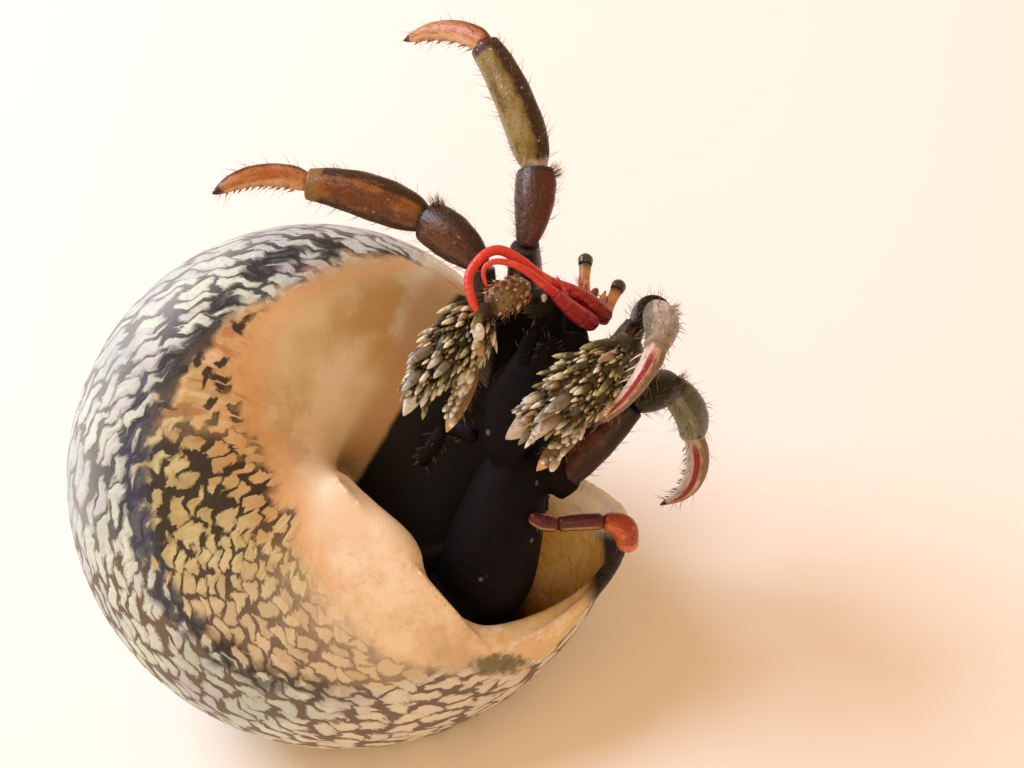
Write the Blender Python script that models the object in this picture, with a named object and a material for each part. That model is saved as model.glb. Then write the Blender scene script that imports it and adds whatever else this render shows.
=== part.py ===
"""A striped hermit crab leaning out of a topshell that lies on its side, at life size.

Everything is laid out in a tilted frame: its +Z comes out of the shell's base, its +Y points to the uphill
side, and its origin is the middle of the base. One empty then lays that frame down on the ground.
Lengths below are in millimetres unless they are multiplied by MM, and angles are in degrees.
"""

import math

import bmesh
import bpy
from mathutils import Matrix, Vector

MM = 0.001

# How the layout frame lies on the ground
GROUND_TIP = 41.6
GROUND_TURN = -10.0
GROUND_LEVEL = -13.45
GROUND_MIDDLE = (2.145, 4.738)

# The shell: a spiral round an axis through its apex, which grows fast at first and slower in the last turn
LIP_RADIUS = 14.0
LIP_DIRECTION = -15.0
SPIRE_GROWTH = math.log(1.62)
LIP_GROWTH = math.log(1.23)
SPIRE_TURNS = 5.0
STEPS_PER_TURN = 32
BASE_HEIGHT = 20.0
AXIS_LEAN_RIGHT = 6.9
AXIS_LEAN_DOWN = 4.2

# A whorl's outline as shares of its radius: (distance from the axis, distance from the apex)
COVERED_FROM = (0.975, 1.27)
WHORL_SIDE = [(0.80, 0.90), (0.90, 0.97), (0.97, 1.05), (1.00, 1.15), COVERED_FROM]
WHORL_BASE = [(0.91, 1.38), (0.80, 1.46), (0.66, 1.51), (0.50, 1.52), (0.34, 1.50), (0.18, 1.46), (0.0, 1.43)]
MOUTH_STARTS_AT = -33.75
MOUTH_PIECE_ENDS_AT = 45.0
MOUTH_NORMAL = (-0.10, 0.70, 0.70)
MOUTH_LEVEL = -7.3
MOUTH_TUCK = (0.02, 0.003, 0.0)

# The hollow inside the last whorl
HOLLOW_OUTER = [(0.80, 0.97), (0.90, 1.06), (0.93, 1.16), (0.905, 1.27), (0.84, 1.37)]
HOLLOW_TOP = [(0.72, 1.44), (0.52, 1.455), (0.34, 1.42)]
COLUMELLA = [(0.09, 1.34), (0.07, 1.20)]
LIP_THIN = 0.04
HOLLOW_DEPTH_TURNS = 0.56

# The crab's trunk, as the directions of its head and its back in the layout frame
TRUNK_MIDDLE = (8.75, 3.7, -0.95)
TRUNK_FORWARD = (0.385, 0.868, 0.31)
TRUNK_BACK = (0.34, 0.18, -0.92)


def radius_at(turn):
    """A whorl's radius a number of turns past the lip's direction."""
    if turn > 0:
        return LIP_RADIUS * math.exp(LIP_GROWTH * turn)
    last = max(1 + turn, 0)
    slowing = (LIP_GROWTH - SPIRE_GROWTH) * (1 - last * last) / 2
    return LIP_RADIUS * math.exp(SPIRE_GROWTH * turn - slowing)


def on_whorl(share, angle):
    """The place of a section point, angle degrees past the lip's direction, from the apex."""
    radius = radius_at(angle / 360)
    out = share[0] * radius
    turn = math.radians(LIP_DIRECTION + angle)
    return Vector((out * math.cos(turn), out * math.sin(turn), share[1] * radius)) * MM


def covered(shares, angle):
    """Shares of the whorl one turn earlier, as shares of this one."""
    shrink = radius_at(angle / 360 - 1) / radius_at(angle / 360)
    return [(out * shrink, down * shrink) for out, down in shares]


def loft(bm, rings, closed=False):
    """Quads between rings of points, each ring being a chain or a loop of the same length."""
    made = [[bm.verts.new(p) for p in ring] for ring in rings]
    for one, two in zip(made, made[1:]):
        around = list(range(len(one)))
        pairs = list(zip(around, around[1:] + around[:1])) if closed else list(zip(around, around[1:]))
        for i, j in pairs:
            bm.faces.new((one[i], one[j], two[j], two[i]))


def close_up(bm):
    bmesh.ops.remove_doubles(bm, verts=bm.verts, dist=0.003 * MM)
    bmesh.ops.dissolve_degenerate(bm, edges=bm.edges, dist=0.001 * MM)
    bmesh.ops.holes_fill(bm, edges=[e for e in bm.edges if e.is_boundary], sides=0)
    bmesh.ops.recalc_face_normals(bm, faces=bm.faces)


def add_object(name, bm, collection, smooth=35):
    mesh = bpy.data.meshes.new(name)
    bm.to_mesh(mesh)
    bm.free()
    mesh.shade_smooth()
    mesh.set_sharp_from_angle(angle=math.radians(smooth))
    made = bpy.data.objects.new(name, mesh)
    collection.objects.link(made)
    return made


def as_cutter(obj):
    obj.hide_render = True
    obj.display_type = "WIRE"


def boolean(obj, other, operation):
    step = obj.modifiers.new(other.name, "BOOLEAN")
    step.operation = operation
    step.solver = "EXACT"
    step.object = other


def angles_between(first, last, step):
    count = round((last - first) / step)
    return [first + (last - first) * i / count for i in range(count + 1)]


def whorls(collection):
    """The shell up to where the mouth starts: the spire's bands, then one full turn with its base."""
    step = 360 / STEPS_PER_TURN
    end = MOUTH_STARTS_AT
    bm = bmesh.new()
    sides = []
    for angle in angles_between(end - SPIRE_TURNS * 360, end, step):
        sides.append([on_whorl(p, angle) for p in covered([COVERED_FROM], angle) + WHORL_SIDE])
    loft(bm, sides)
    bases = []
    for angle in angles_between(end - 360, end, step):
        bases.append([on_whorl(p, angle) for p in [COVERED_FROM] + WHORL_BASE])
    loft(bm, bases)
    close_up(bm)
    return add_object("shell", bm, collection)


def mouth_piece(collection, place):
    """The last part of the whorl, cut off along the plane of the mouth."""
    buried = [(0.20, 1.05), (0.45, 0.98), (0.80, 1.12)]
    step = 360 / STEPS_PER_TURN
    rings = []
    for i, angle in enumerate(angles_between(MOUTH_STARTS_AT - step, MOUTH_PIECE_ENDS_AT, step)):
        inside = covered(buried, angle)
        start = covered([COVERED_FROM], angle)
        tuck = Matrix.Scale(1 - MOUTH_TUCK[min(i, 2)], 4)
        rings.append([tuck @ on_whorl(p, angle) for p in start + WHORL_SIDE + WHORL_BASE[:-1] + inside])
    bm = bmesh.new()
    loft(bm, rings, closed=True)
    close_up(bm)
    level = place.inverted() @ (Vector(MOUTH_NORMAL).normalized() * MOUTH_LEVEL * MM)
    facing = place.to_3x3().inverted() @ Vector(MOUTH_NORMAL)
    everything = bm.verts[:] + bm.edges[:] + bm.faces[:]
    near = 0.001 * MM
    bmesh.ops.bisect_plane(bm, geom=everything, dist=near, plane_co=level, plane_no=facing, clear_outer=True)
    close_up(bm)
    made = add_object("shell_mouth", bm, collection)
    as_cutter(made)
    return made


def hollow_section(angle):
    """The hollow's outline: thinner walls near the lip, and the earlier whorl as its inner side."""
    thin = LIP_THIN * min(max(1 + angle / 90, 0), 1)
    outer = [(out * (1 + thin), down * (1 + 0.5 * thin)) for out, down in HOLLOW_OUTER + HOLLOW_TOP]
    earlier = covered([(0.14, 1.45), (0.30, 1.53), (0.52, 1.555), (0.72, 1.535), (0.88, 1.46)], angle)
    corner = covered([(0.99, 1.36)], angle)
    return outer + COLUMELLA + earlier + corner


def hollow(collection):
    """The cutter for the inside of the last whorl."""
    first = -HOLLOW_DEPTH_TURNS * 360
    bm = bmesh.new()
    angles = angles_between(first, MOUTH_PIECE_ENDS_AT + 4, 14)
    loft(bm, [[on_whorl(p, a) for p in hollow_section(a)] for a in angles], closed=True)
    close_up(bm)
    made = add_object("shell_hollow", bm, collection)
    as_cutter(made)
    return made


def ground_cutter(collection):
    """A block under the ground, which leaves the shell small flats to stand on."""
    bm = bmesh.new()
    bmesh.ops.create_cube(bm, size=60 * MM)
    made = add_object("under_ground", bm, collection)
    made.location = (0, 0, -30 * MM)
    as_cutter(made)
    return made


def limb(
    name,
    start,
    end,
    widths,
    collection,
    ground,
    flat=1.0,
    bend=0.0,
    bend_to=(0, 0, 1),
    sides=2,
    gaps=(0.15, 0.15),
):
    """A tapering piece between two joints, with round ends, which may be bent and flattened.

    widths are the radii at even steps along it. It bows towards bend_to by bend times its length, and it stops
    short of its two joints by the gaps.
    """
    begin, finish = Vector(start), Vector(end)
    along = (finish - begin).normalized()
    begin = begin + along * gaps[0]
    finish = finish - along * gaps[1]
    length = (finish - begin).length
    aside = Vector(bend_to) - along * along.dot(Vector(bend_to))
    aside.normalize()
    other = aside.cross(along)
    shares = [0.0, 0.035] + [i / (len(widths) - 1) for i in range(1, len(widths) - 1)] + [0.965, 1.0]
    radii = [0.62 * widths[0]] + list(widths) + [0.62 * widths[-1]]
    curve = bpy.data.curves.new(name, "CURVE")
    curve.dimensions = "3D"
    curve.bevel_depth = MM
    curve.bevel_resolution = sides
    curve.use_fill_caps = True
    spline = curve.splines.new("POLY")
    spline.points.add(len(shares) - 1)
    for point, share, radius in zip(spline.points, shares, radii):
        point.co = (length * share * MM, 0, bend * length * 4 * share * (1 - share) * MM, 1)
        point.radius = radius
    made = bpy.data.objects.new(name, curve)
    collection.objects.link(made)
    made.parent = ground
    turned = Matrix((along, other, aside)).transposed().to_4x4()
    made.matrix_local = Matrix.Translation(begin * MM) @ turned @ Matrix.Diagonal((1, flat, 1, 1))
    return made


def strand(name, points, radii, collection, parent, sides=2):
    """A bending round piece through the given points."""
    curve = bpy.data.curves.new(name, "CURVE")
    curve.dimensions = "3D"
    curve.bevel_depth = MM
    curve.bevel_resolution = sides
    curve.use_fill_caps = True
    spline = curve.splines.new("POLY")
    spline.points.add(len(points) - 1)
    for point, place, radius in zip(spline.points, points, radii):
        point.co = (*(Vector(place) * MM), 1)
        point.radius = radius
    made = bpy.data.objects.new(name, curve)
    collection.objects.link(made)
    made.parent = parent
    return made


def egg(name, middle, half, collection, parent, rings=10, segments=14):
    bm = bmesh.new()
    bmesh.ops.create_uvsphere(bm, u_segments=segments, v_segments=rings, radius=MM)
    bmesh.ops.scale(bm, vec=half, verts=bm.verts)
    made = add_object(name, bm, collection, 180)
    made.parent = parent
    made.location = Vector(middle) * MM
    return made


# Joints of the walking legs from hip to claw tip, the radii of their pieces, and how each claw bows
LEGS = {
    "leg_right_2": {
        "hip": (6.5, 3.6, -0.9),
        "joints": [(6.4, 9.5, 0.9), (3.9, 11.5, -0.3), (-1.5, 13.25, -0.9)],
        "tip": (-5.6, 12.7, 0.6),
        "bows": (-0.2, 1.0, 0.0),
    },
    "leg_right_3": {
        "hip": (8.4, 7.2, -1.6),
        "joints": [(8.7, 10.5, 1.3), (9.15, 13.9, 0.6), (6.55, 19.6, -0.8)],
        "tip": (2.8, 20.05, -3.2),
        "bows": (0.6, 1.0, 0.0),
    },
    "leg_left_2": {
        "hip": (11.9, 4.6, -1.9),
        "joints": [(13.2, 7.3, -1.9), (14.1, 7.7, 0.9), (14.2, 6.3, 5.6)],
        "tip": (11.5, 2.6, 4.9),
        "bows": (1.0, -0.1, 0.6),
    },
    "leg_left_3": {
        "hip": (9.9, -0.4, -1.9),
        "joints": [(13.9, 3.7, -0.8), (15.35, 3.9, -2.2), (16.6, 1.2, -5.9)],
        "tip": (15.1, -1.5, -8.2),
        "bows": (1.0, 0.0, 0.6),
    },
}
LEG_PIECES = [
    ("merus", (0.60, 0.86, 0.92, 0.86, 0.60), 0.0),
    ("carpus", (0.55, 0.84, 0.95, 0.90, 0.70), 0.04),
    ("propodus", (0.70, 0.94, 0.98, 0.86, 0.66), 0.05),
    ("dactyl", (0.55, 0.58, 0.50, 0.37, 0.25), 0.13),
]


def joint_gap(before, joint, after, radius):
    """How far from a joint its two pieces stop, so that their round ends clear each other in the bend."""
    one = (Vector(joint) - Vector(before)).normalized()
    two = (Vector(after) - Vector(joint)).normalized()
    return 0.13 + 0.62 * radius * math.tan(one.angle(two) / 2)


def walking_legs(collection, ground):
    for leg, plan in LEGS.items():
        joints = [plan["hip"], *plan["joints"], plan["tip"]]
        gaps = [0.15]
        for before, joint, after, (_, widths, _) in zip(joints, joints[1:], joints[2:], LEG_PIECES):
            gaps.append(joint_gap(before, joint, after, widths[-1]))
        gaps.append(0.0)
        for i, (piece, widths, bow) in enumerate(LEG_PIECES):
            limb(
                f"{leg}_{piece}",
                joints[i],
                joints[i + 1],
                widths,
                collection,
                ground,
                flat=0.86,
                bend=bow,
                bend_to=plan["bows"],
                gaps=(gaps[i], gaps[i + 1]),
            )


# The claw arms: joints from the body to the wrist, the hand with its fixed finger, and the moving finger
CLAW_ARMS = {
    "claw_left": {
        "merus": ((10.4, 5.9, 1.9), (12.1, 4.5, 0.8)),
        "carpus": ((12.45, 5.0, 1.7), (13.0, 6.0, 2.8)),
        "palm": [(12.6, 5.3, 3.6), (12.2, 5.0, 3.8), (11.3, 4.3, 4.3), (10.2, 3.6, 4.7)],
        "fixed_finger": [(9.0, 2.9, 5.0), (7.6, 1.9, 5.0)],
        "finger": [(10.7, 2.3, 3.7), (10.4, 2.0, 3.8), (9.6, 1.2, 4.0), (8.95, 0.5, 4.0)],
    },
    "claw_right": {
        "merus": ((9.5, 7.3, 1.6), (8.4, 8.0, 2.0)),
        "carpus": ((8.0, 7.9, 2.4), (6.95, 7.9, 3.5)),
        "palm": [(6.6, 7.3, 3.7), (6.3, 7.0, 3.9), (5.7, 6.2, 4.4), (4.9, 5.3, 4.8)],
        "fixed_finger": [(4.1, 4.3, 5.0), (3.4, 3.0, 5.1)],
        "finger": [(6.35, 4.5, 4.2), (6.15, 4.1, 4.3), (5.6, 3.2, 4.7), (4.95, 2.2, 4.8)],
    },
}
HAND_RADII = (0.45, 0.85, 1.25, 1.15, 0.78, 0.26)
FINGER_RADII = (0.30, 0.50, 0.52, 0.26)


def claw_arms(collection, ground):
    for arm, plan in CLAW_ARMS.items():
        limb(f"{arm}_merus", *plan["merus"], (0.55, 0.75, 0.62), collection, ground)
        limb(f"{arm}_carpus", *plan["carpus"], (0.55, 0.85, 0.70), collection, ground)
        strand(f"{arm}_hand", plan["palm"] + plan["fixed_finger"], HAND_RADII, collection, ground, sides=3)
        strand(f"{arm}_finger", plan["finger"], FINGER_RADII, collection, ground)


def trunk(collection, ground):
    """Carapace, chest and the pieces of the head, laid out facing +Y with the back up."""
    forward = Vector(TRUNK_FORWARD).normalized()
    back = Vector(TRUNK_BACK)
    back = (back - forward * forward.dot(back)).normalized()
    right = forward.cross(back)
    pose = bpy.data.objects.new("trunk_pose", None)
    collection.objects.link(pose)
    pose.parent = ground
    turned = Matrix((right, forward, back)).transposed().to_4x4()
    pose.matrix_local = Matrix.Translation(Vector(TRUNK_MIDDLE) * MM) @ turned
    egg("carapace", (0, 0, 0.75), (1.9, 4.1, 1.15), collection, pose)
    egg("chest", (0, 0, -1.35), (1.5, 3.3, 0.7), collection, pose, rings=8)
    for side, sign in (("right", 1), ("left", -1)):
        root, top = (0.45 * sign, 2.0, -2.5), (0.4 * sign, 3.8, -2.75)
        limb(f"maxilliped_{side}", root, top, (0.26, 0.32, 0.27), collection, pose)
    egg("trunk_rear", (6.4, -1.35, -1.9), (2.4, 1.25, 1.25), collection, ground)


def head(collection, ground):
    eyes = {
        "right": ((11.15, 8.1, -0.1), (11.35, 10.0, -1.2)),
        "left": ((12.2, 7.6, -0.4), (12.8, 9.0, -1.5)),
    }
    for side, (root, top) in eyes.items():
        limb(f"eyestalk_{side}", root, top, (0.27, 0.25, 0.27), collection, ground)
        tip = Vector(top) + (Vector(top) - Vector(root)).normalized() * 0.42
        egg(f"cornea_{side}", tip, (0.32, 0.32, 0.32), collection, ground, rings=8, segments=10)
    peduncles = {
        "right": [(11.0, 6.9, 2.2), (10.3, 7.35, 2.9), (9.6, 7.95, 3.5)],
        "left": [(12.05, 7.1, 1.0), (11.2, 8.0, 1.7), (10.35, 8.55, 2.3)],
    }
    flagella = {
        "right": [(9.3, 8.2, 3.65), (8.6, 8.7, 4.1), (7.8, 9.0, 4.5), (7.1, 8.95, 4.7)],
        "left": [(10.0, 8.7, 2.8), (8.9, 9.5, 3.4), (7.8, 10.0, 3.9), (6.8, 10.0, 4.2)],
    }
    hooks = {
        "right": [(6.75, 8.5, 4.8), (6.85, 7.9, 4.75)],
        "left": [(6.05, 9.4, 4.4), (5.8, 8.6, 4.5), (6.0, 7.9, 4.7)],
    }
    for side in ("right", "left"):
        strand(f"antenna_base_{side}", peduncles[side], (0.40, 0.45, 0.32), collection, ground)
        path = flagella[side] + hooks[side]
        radii = [0.28 - 0.03 * i / (len(path) - 1) for i in range(len(path))]
        strand(f"antenna_{side}", path, radii, collection, ground, sides=1)
    antennules = {"right": ((10.9, 8.3, 1.0), (11.2, 9.3, 0.9)), "left": ((11.9, 8.35, 0.5), (12.3, 9.2, 0.4))}
    for side, (root, top) in antennules.items():
        limb(f"antennule_{side}", root, top, (0.27, 0.27, 0.25), collection, ground, sides=1)


def abdomen(collection, shell_pose):
    """The soft abdomen, coiled back into the last whorl."""
    angles = (-8, -10, -15, -24, -38, -54, -76, -102, -130, -158, -166)
    radii = (0.7, 1.4, 2.0, 2.35, 2.45, 2.35, 2.1, 1.8, 1.4, 0.9, 0.4)
    path = [on_whorl((0.62, 1.215), a) / MM for a in angles]
    strand("abdomen", path, radii, collection, shell_pose, sides=4)


def small_legs(collection, ground):
    limb("leg_left_4_inner", (9.4, -1.6, -1.3), (10.9, -2.3, -1.6), (0.32, 0.42, 0.34), collection, ground)
    limb("leg_left_4_outer", (10.9, -2.3, -1.6), (13.1, -2.3, -1.6), (0.34, 0.44, 0.36), collection, ground)
    limb("leg_left_4_tip", (13.25, -2.35, -1.7), (14.3, -3.4, -2.6), (0.40, 0.62, 0.52), collection, ground)
    limb("leg_right_4_inner", (6.2, 1.7, -1.5), (4.8, 2.3, -2.4), (0.38, 0.46, 0.36), collection, ground)
    limb("leg_right_4_outer", (4.6, 2.15, -2.5), (3.7, 0.5, -2.9), (0.36, 0.42, 0.30), collection, ground)


MATERIALS = {
    "shell": ((0.62, 0.58, 0.52), 0.35),
    "leg_armour": ((0.20, 0.13, 0.07), 0.3),
    "claw_armour": ((0.27, 0.26, 0.18), 0.45),
    "claw_tip": ((0.55, 0.30, 0.20), 0.35),
    "trunk_skin": ((0.05, 0.035, 0.03), 0.4),
    "antenna_red": ((0.55, 0.05, 0.03), 0.35),
    "eyestalk_tan": ((0.50, 0.28, 0.10), 0.35),
    "cornea_black": ((0.02, 0.02, 0.02), 0.1),
}


def slot_of(name):
    if name == "shell":
        return "shell"
    if name.startswith("cornea"):
        return "cornea_black"
    if name.startswith("eyestalk"):
        return "eyestalk_tan"
    if name.startswith("antenn"):
        return "antenna_red"
    if name.startswith("claw"):
        return "claw_armour"
    if name.endswith("dactyl") or name.endswith("4_tip"):
        return "claw_tip"
    return "leg_armour" if name.startswith("leg") else "trunk_skin"


def paint(obj):
    colour, roughness = MATERIALS[slot_of(obj.name)]
    material = bpy.data.materials.new(f"{obj.name}_{slot_of(obj.name)}")
    material.use_nodes = True
    shader = material.node_tree.nodes["Principled BSDF"]
    shader.inputs["Base Color"].default_value = (*colour, 1)
    shader.inputs["Roughness"].default_value = roughness
    obj.data.materials.append(material)


def main():
    for old in list(bpy.data.objects):
        bpy.data.objects.remove(old)
    parts = bpy.data.collections.new("hermit_crab")
    cutters = bpy.data.collections.new("cutters")
    for collection in (parts, cutters):
        bpy.context.scene.collection.children.link(collection)

    ground = bpy.data.objects.new("ground_pose", None)
    parts.objects.link(ground)
    tipped = Matrix.Rotation(math.radians(GROUND_TIP), 4, "X")
    turned = tipped @ Matrix.Rotation(math.radians(GROUND_TURN), 4, "Z")
    lifted = Vector((-GROUND_MIDDLE[0], -GROUND_MIDDLE[1], -GROUND_LEVEL)) * MM
    ground.matrix_world = Matrix.Translation(lifted) @ turned
    lean_right = Matrix.Rotation(math.radians(AXIS_LEAN_RIGHT), 4, "Y")
    lean = lean_right @ Matrix.Rotation(math.radians(AXIS_LEAN_DOWN), 4, "X")
    place = lean @ Matrix.Translation((0, 0, -BASE_HEIGHT * MM))
    shell_pose = bpy.data.objects.new("shell_pose", None)
    parts.objects.link(shell_pose)
    shell_pose.parent = ground
    shell_pose.matrix_local = place

    shell = whorls(parts)
    for piece, operation in ((mouth_piece(cutters, place), "UNION"), (hollow(cutters), "DIFFERENCE")):
        piece.parent = shell_pose
        boolean(shell, piece, operation)
    shell.parent = shell_pose
    boolean(shell, ground_cutter(cutters), "DIFFERENCE")
    abdomen(parts, shell_pose)
    trunk(parts, ground)
    head(parts, ground)
    claw_arms(parts, ground)
    walking_legs(parts, ground)
    small_legs(parts, ground)
    for obj in parts.objects:
        if obj.type != "EMPTY":
            paint(obj)


main()
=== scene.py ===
import math

import bpy
import numpy as np
from mathutils import Matrix, Vector


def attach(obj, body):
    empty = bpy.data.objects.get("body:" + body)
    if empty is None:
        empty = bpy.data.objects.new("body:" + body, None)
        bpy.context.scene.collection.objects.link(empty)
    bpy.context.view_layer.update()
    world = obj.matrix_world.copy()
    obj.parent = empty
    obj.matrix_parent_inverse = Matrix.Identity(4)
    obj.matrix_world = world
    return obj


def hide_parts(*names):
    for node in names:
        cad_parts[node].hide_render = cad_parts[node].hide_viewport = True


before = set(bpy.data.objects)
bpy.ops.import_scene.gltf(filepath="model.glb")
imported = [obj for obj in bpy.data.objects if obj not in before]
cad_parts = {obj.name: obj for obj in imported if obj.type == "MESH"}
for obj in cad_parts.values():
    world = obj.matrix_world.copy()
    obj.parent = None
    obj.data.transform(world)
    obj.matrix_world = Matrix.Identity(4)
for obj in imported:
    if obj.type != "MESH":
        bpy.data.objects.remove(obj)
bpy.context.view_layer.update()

# Lengths are in millimetres until a piece is laid on the ground, and angles are in degrees. Pieces are made
# in the layout, whose +Z comes out of the shell's mouth side, and then turned to their place.
ground = {"tip": 41.6, "turn": -10.0, "level": -13.45, "middle": (2.145, 4.738), "mm": 0.001}
lean = {"right": 6.9, "down": 4.2, "baseHeight": 20.0}


def turnAbout(angle, axis):
    return Matrix.Rotation(math.radians(angle), 4, axis)


laidDown = turnAbout(ground["tip"], "X") @ turnAbout(ground["turn"], "Z")
lifted = Matrix.Translation((-ground["middle"][0], -ground["middle"][1], -ground["level"]))
toWorld = Matrix.Scale(ground["mm"], 4) @ lifted @ laidDown
shellPlace = turnAbout(lean["right"], "Y") @ turnAbout(lean["down"], "X")
shellPlace = shellPlace @ Matrix.Translation((0, 0, -lean["baseHeight"]))
zUp = (0, 0, 1)
tubeMiddle = [(0.62, 1.215)]  # the middle of the whorl's hollow, as shares of its radius


# Small modelling helpers

def deselectAll():
    if bpy.context.object and bpy.context.object.mode != "OBJECT":
        bpy.ops.object.mode_set(mode="OBJECT")
    bpy.ops.object.select_all(action="DESELECT")


def choose(piece):
    deselectAll()
    piece.select_set(True)
    bpy.context.view_layer.objects.active = piece


def pointsOf(piece):
    flat = np.empty(len(piece.data.vertices) * 3)
    piece.data.vertices.foreach_get("co", flat)
    return flat.reshape(-1, 3)


def placePoints(piece, points):
    piece.data.vertices.foreach_set("co", np.asarray(points, float).ravel())
    piece.data.update()


def moved(points, matrix):
    rows = np.array(matrix)
    return np.asarray(points, float) @ rows[:3, :3].T + rows[:3, 3]


def tidyFaces(piece, near=0.002, closeHoles=True):
    choose(piece)
    bpy.ops.object.mode_set(mode="EDIT")
    bpy.ops.mesh.select_all(action="SELECT")
    bpy.ops.mesh.remove_doubles(threshold=near)
    bpy.ops.mesh.dissolve_degenerate(threshold=near / 2)
    if closeHoles:
        bpy.ops.mesh.select_all(action="SELECT")
        bpy.ops.mesh.fill_holes(sides=0)
    bpy.ops.mesh.select_all(action="SELECT")
    bpy.ops.mesh.normals_make_consistent(inside=False)
    bpy.ops.object.mode_set(mode="OBJECT")


def sheetPiece(name, rings):
    # a flat grid, laid out by rows of points
    rings = np.asarray(rings, float)
    rows, columns = rings.shape[0] - 1, rings.shape[1] - 1
    deselectAll()
    bpy.ops.mesh.primitive_grid_add(x_subdivisions=rows, y_subdivisions=columns, size=2)
    piece = bpy.context.object
    piece.name = piece.data.name = name
    flat = pointsOf(piece)
    row = np.rint((flat[:, 0] + 1) / 2 * rows).astype(int)
    column = np.rint((flat[:, 1] + 1) / 2 * columns).astype(int)
    placePoints(piece, rings[row, column])
    return piece


def applyModifier(piece, kind, **settings):
    choose(piece)
    step = piece.modifiers.new(kind.title(), kind)
    for key, value in settings.items():
        setattr(step, key, value)
    bpy.ops.object.modifier_apply(modifier=step.name)


def joined(name, pieces):
    choose(pieces[0])
    for piece in pieces:
        piece.select_set(True)
    bpy.ops.object.join()
    pieces[0].name = pieces[0].data.name = name
    return pieces[0]


def fused(name, pieces, voxel, rounds):
    # one closed skin round all the pieces
    whole = joined(name, pieces)
    applyModifier(whole, "REMESH", mode="VOXEL", voxel_size=voxel)
    applyModifier(whole, "SMOOTH", factor=0.5, iterations=rounds)
    return whole


def between(a, b, c, d, t):
    # a smooth way from b to c
    bend = t ** 2 * (a - 2.5 * b + 2 * c - d / 2)
    return b + t * (c - a) / 2 + bend + t ** 3 * (1.5 * (b - c) + (d - a) / 2)


def rounded(points, count):
    # an even, rounded path through a few points
    knots = np.asarray(points, float)
    knots = np.vstack([2 * knots[0] - knots[1], knots, 2 * knots[-1] - knots[-2]])
    shares = np.linspace(0, len(knots) - 3, count)
    start = np.minimum(shares.astype(int), len(knots) - 4)
    t = (shares - start)[:, None]
    a, b, c, d = (knots[start + i] for i in range(4))
    return between(a, b, c, d, t)


def roundedLoop(points, count):
    # the same for a closed path
    knots = np.asarray(points, float)
    shares = np.linspace(0, len(knots), count)
    start = np.minimum(shares.astype(int), len(knots) - 1)
    t = (shares - start)[:, None]
    return between(*(knots[(start + i - 1) % len(knots)] for i in range(4)), t)


def smoothStep(low, high, value):
    t = np.clip((np.asarray(value, float) - low) / (high - low), 0, 1)
    return t * t * (3 - 2 * t)


def toTheLeft(points, path):
    # distance to the left of a path in the layout plane, which is negative on its right
    best = np.full(len(points), 1e9)
    side = np.ones(len(points))
    for a, b in zip(np.array(path[:-1], float), np.array(path[1:], float)):
        along, across = b - a, points[:, :2] - a
        share = np.clip(across @ along / (along @ along), 0, 1)
        away = np.linalg.norm(across - share[:, None] * along, axis=1)
        turn = along[0] * across[:, 1] - along[1] * across[:, 0]
        closer = away < best - 1e-9
        best[closer], side[closer] = away[closer], np.sign(turn[closer])
    return best * side


# Shader helpers

def linear(shade):
    return shade / 255 / 12.92 if shade <= 10 else ((shade / 255 + 0.055) / 1.055) ** 2.4


def tint(red, green, blue):
    # a colour as a painter would pick it, from 0 to 255
    return linear(red), linear(green), linear(blue), 1


class Wire:
    # a socket that can be added, multiplied and so on like a number
    def __init__(self, paint, socket):
        self.paint, self.socket = paint, socket

    def math(self, operation, *values):
        return self.paint.node("ShaderNodeMath", {"operation": operation}, dict(enumerate(values)))

    def __add__(self, other):
        return self.math("ADD", self, other)

    def __sub__(self, other):
        return self.math("SUBTRACT", self, other)

    def __rsub__(self, other):
        return self.math("SUBTRACT", other, self)

    def __mul__(self, other):
        return self.math("MULTIPLY", self, other)

    def __truediv__(self, other):
        return self.math("DIVIDE", self, other)

    __radd__, __rmul__ = __add__, __mul__

    def sine(self):
        return self.math("SINE", self)

    def size(self):
        return self.math("ABSOLUTE", self)

    def sway(self, amount):
        # a noise's ups and downs, about 0
        return (self - 0.5) * amount

    def fold(self, width):
        # a zigzag between 0 and width
        return self.math("PINGPONG", self, width)

    def step(self, low, high):
        # 0 below low and 1 above high, smooth between; high may be the lower one
        if low > high:
            return 1 - self.step(high, low)
        return self.paint.node("ShaderNodeMapRange", {"interpolation_type": "SMOOTHSTEP"},
                               {"Value": self, "From Min": low, "From Max": high})


socketNames = {
    "colour": "Base Color", "roughness": "Roughness", "normal": "Normal", "coat": "Coat Weight",
    "coatRoughness": "Coat Roughness", "specular": "Specular IOR Level",
}


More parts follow.
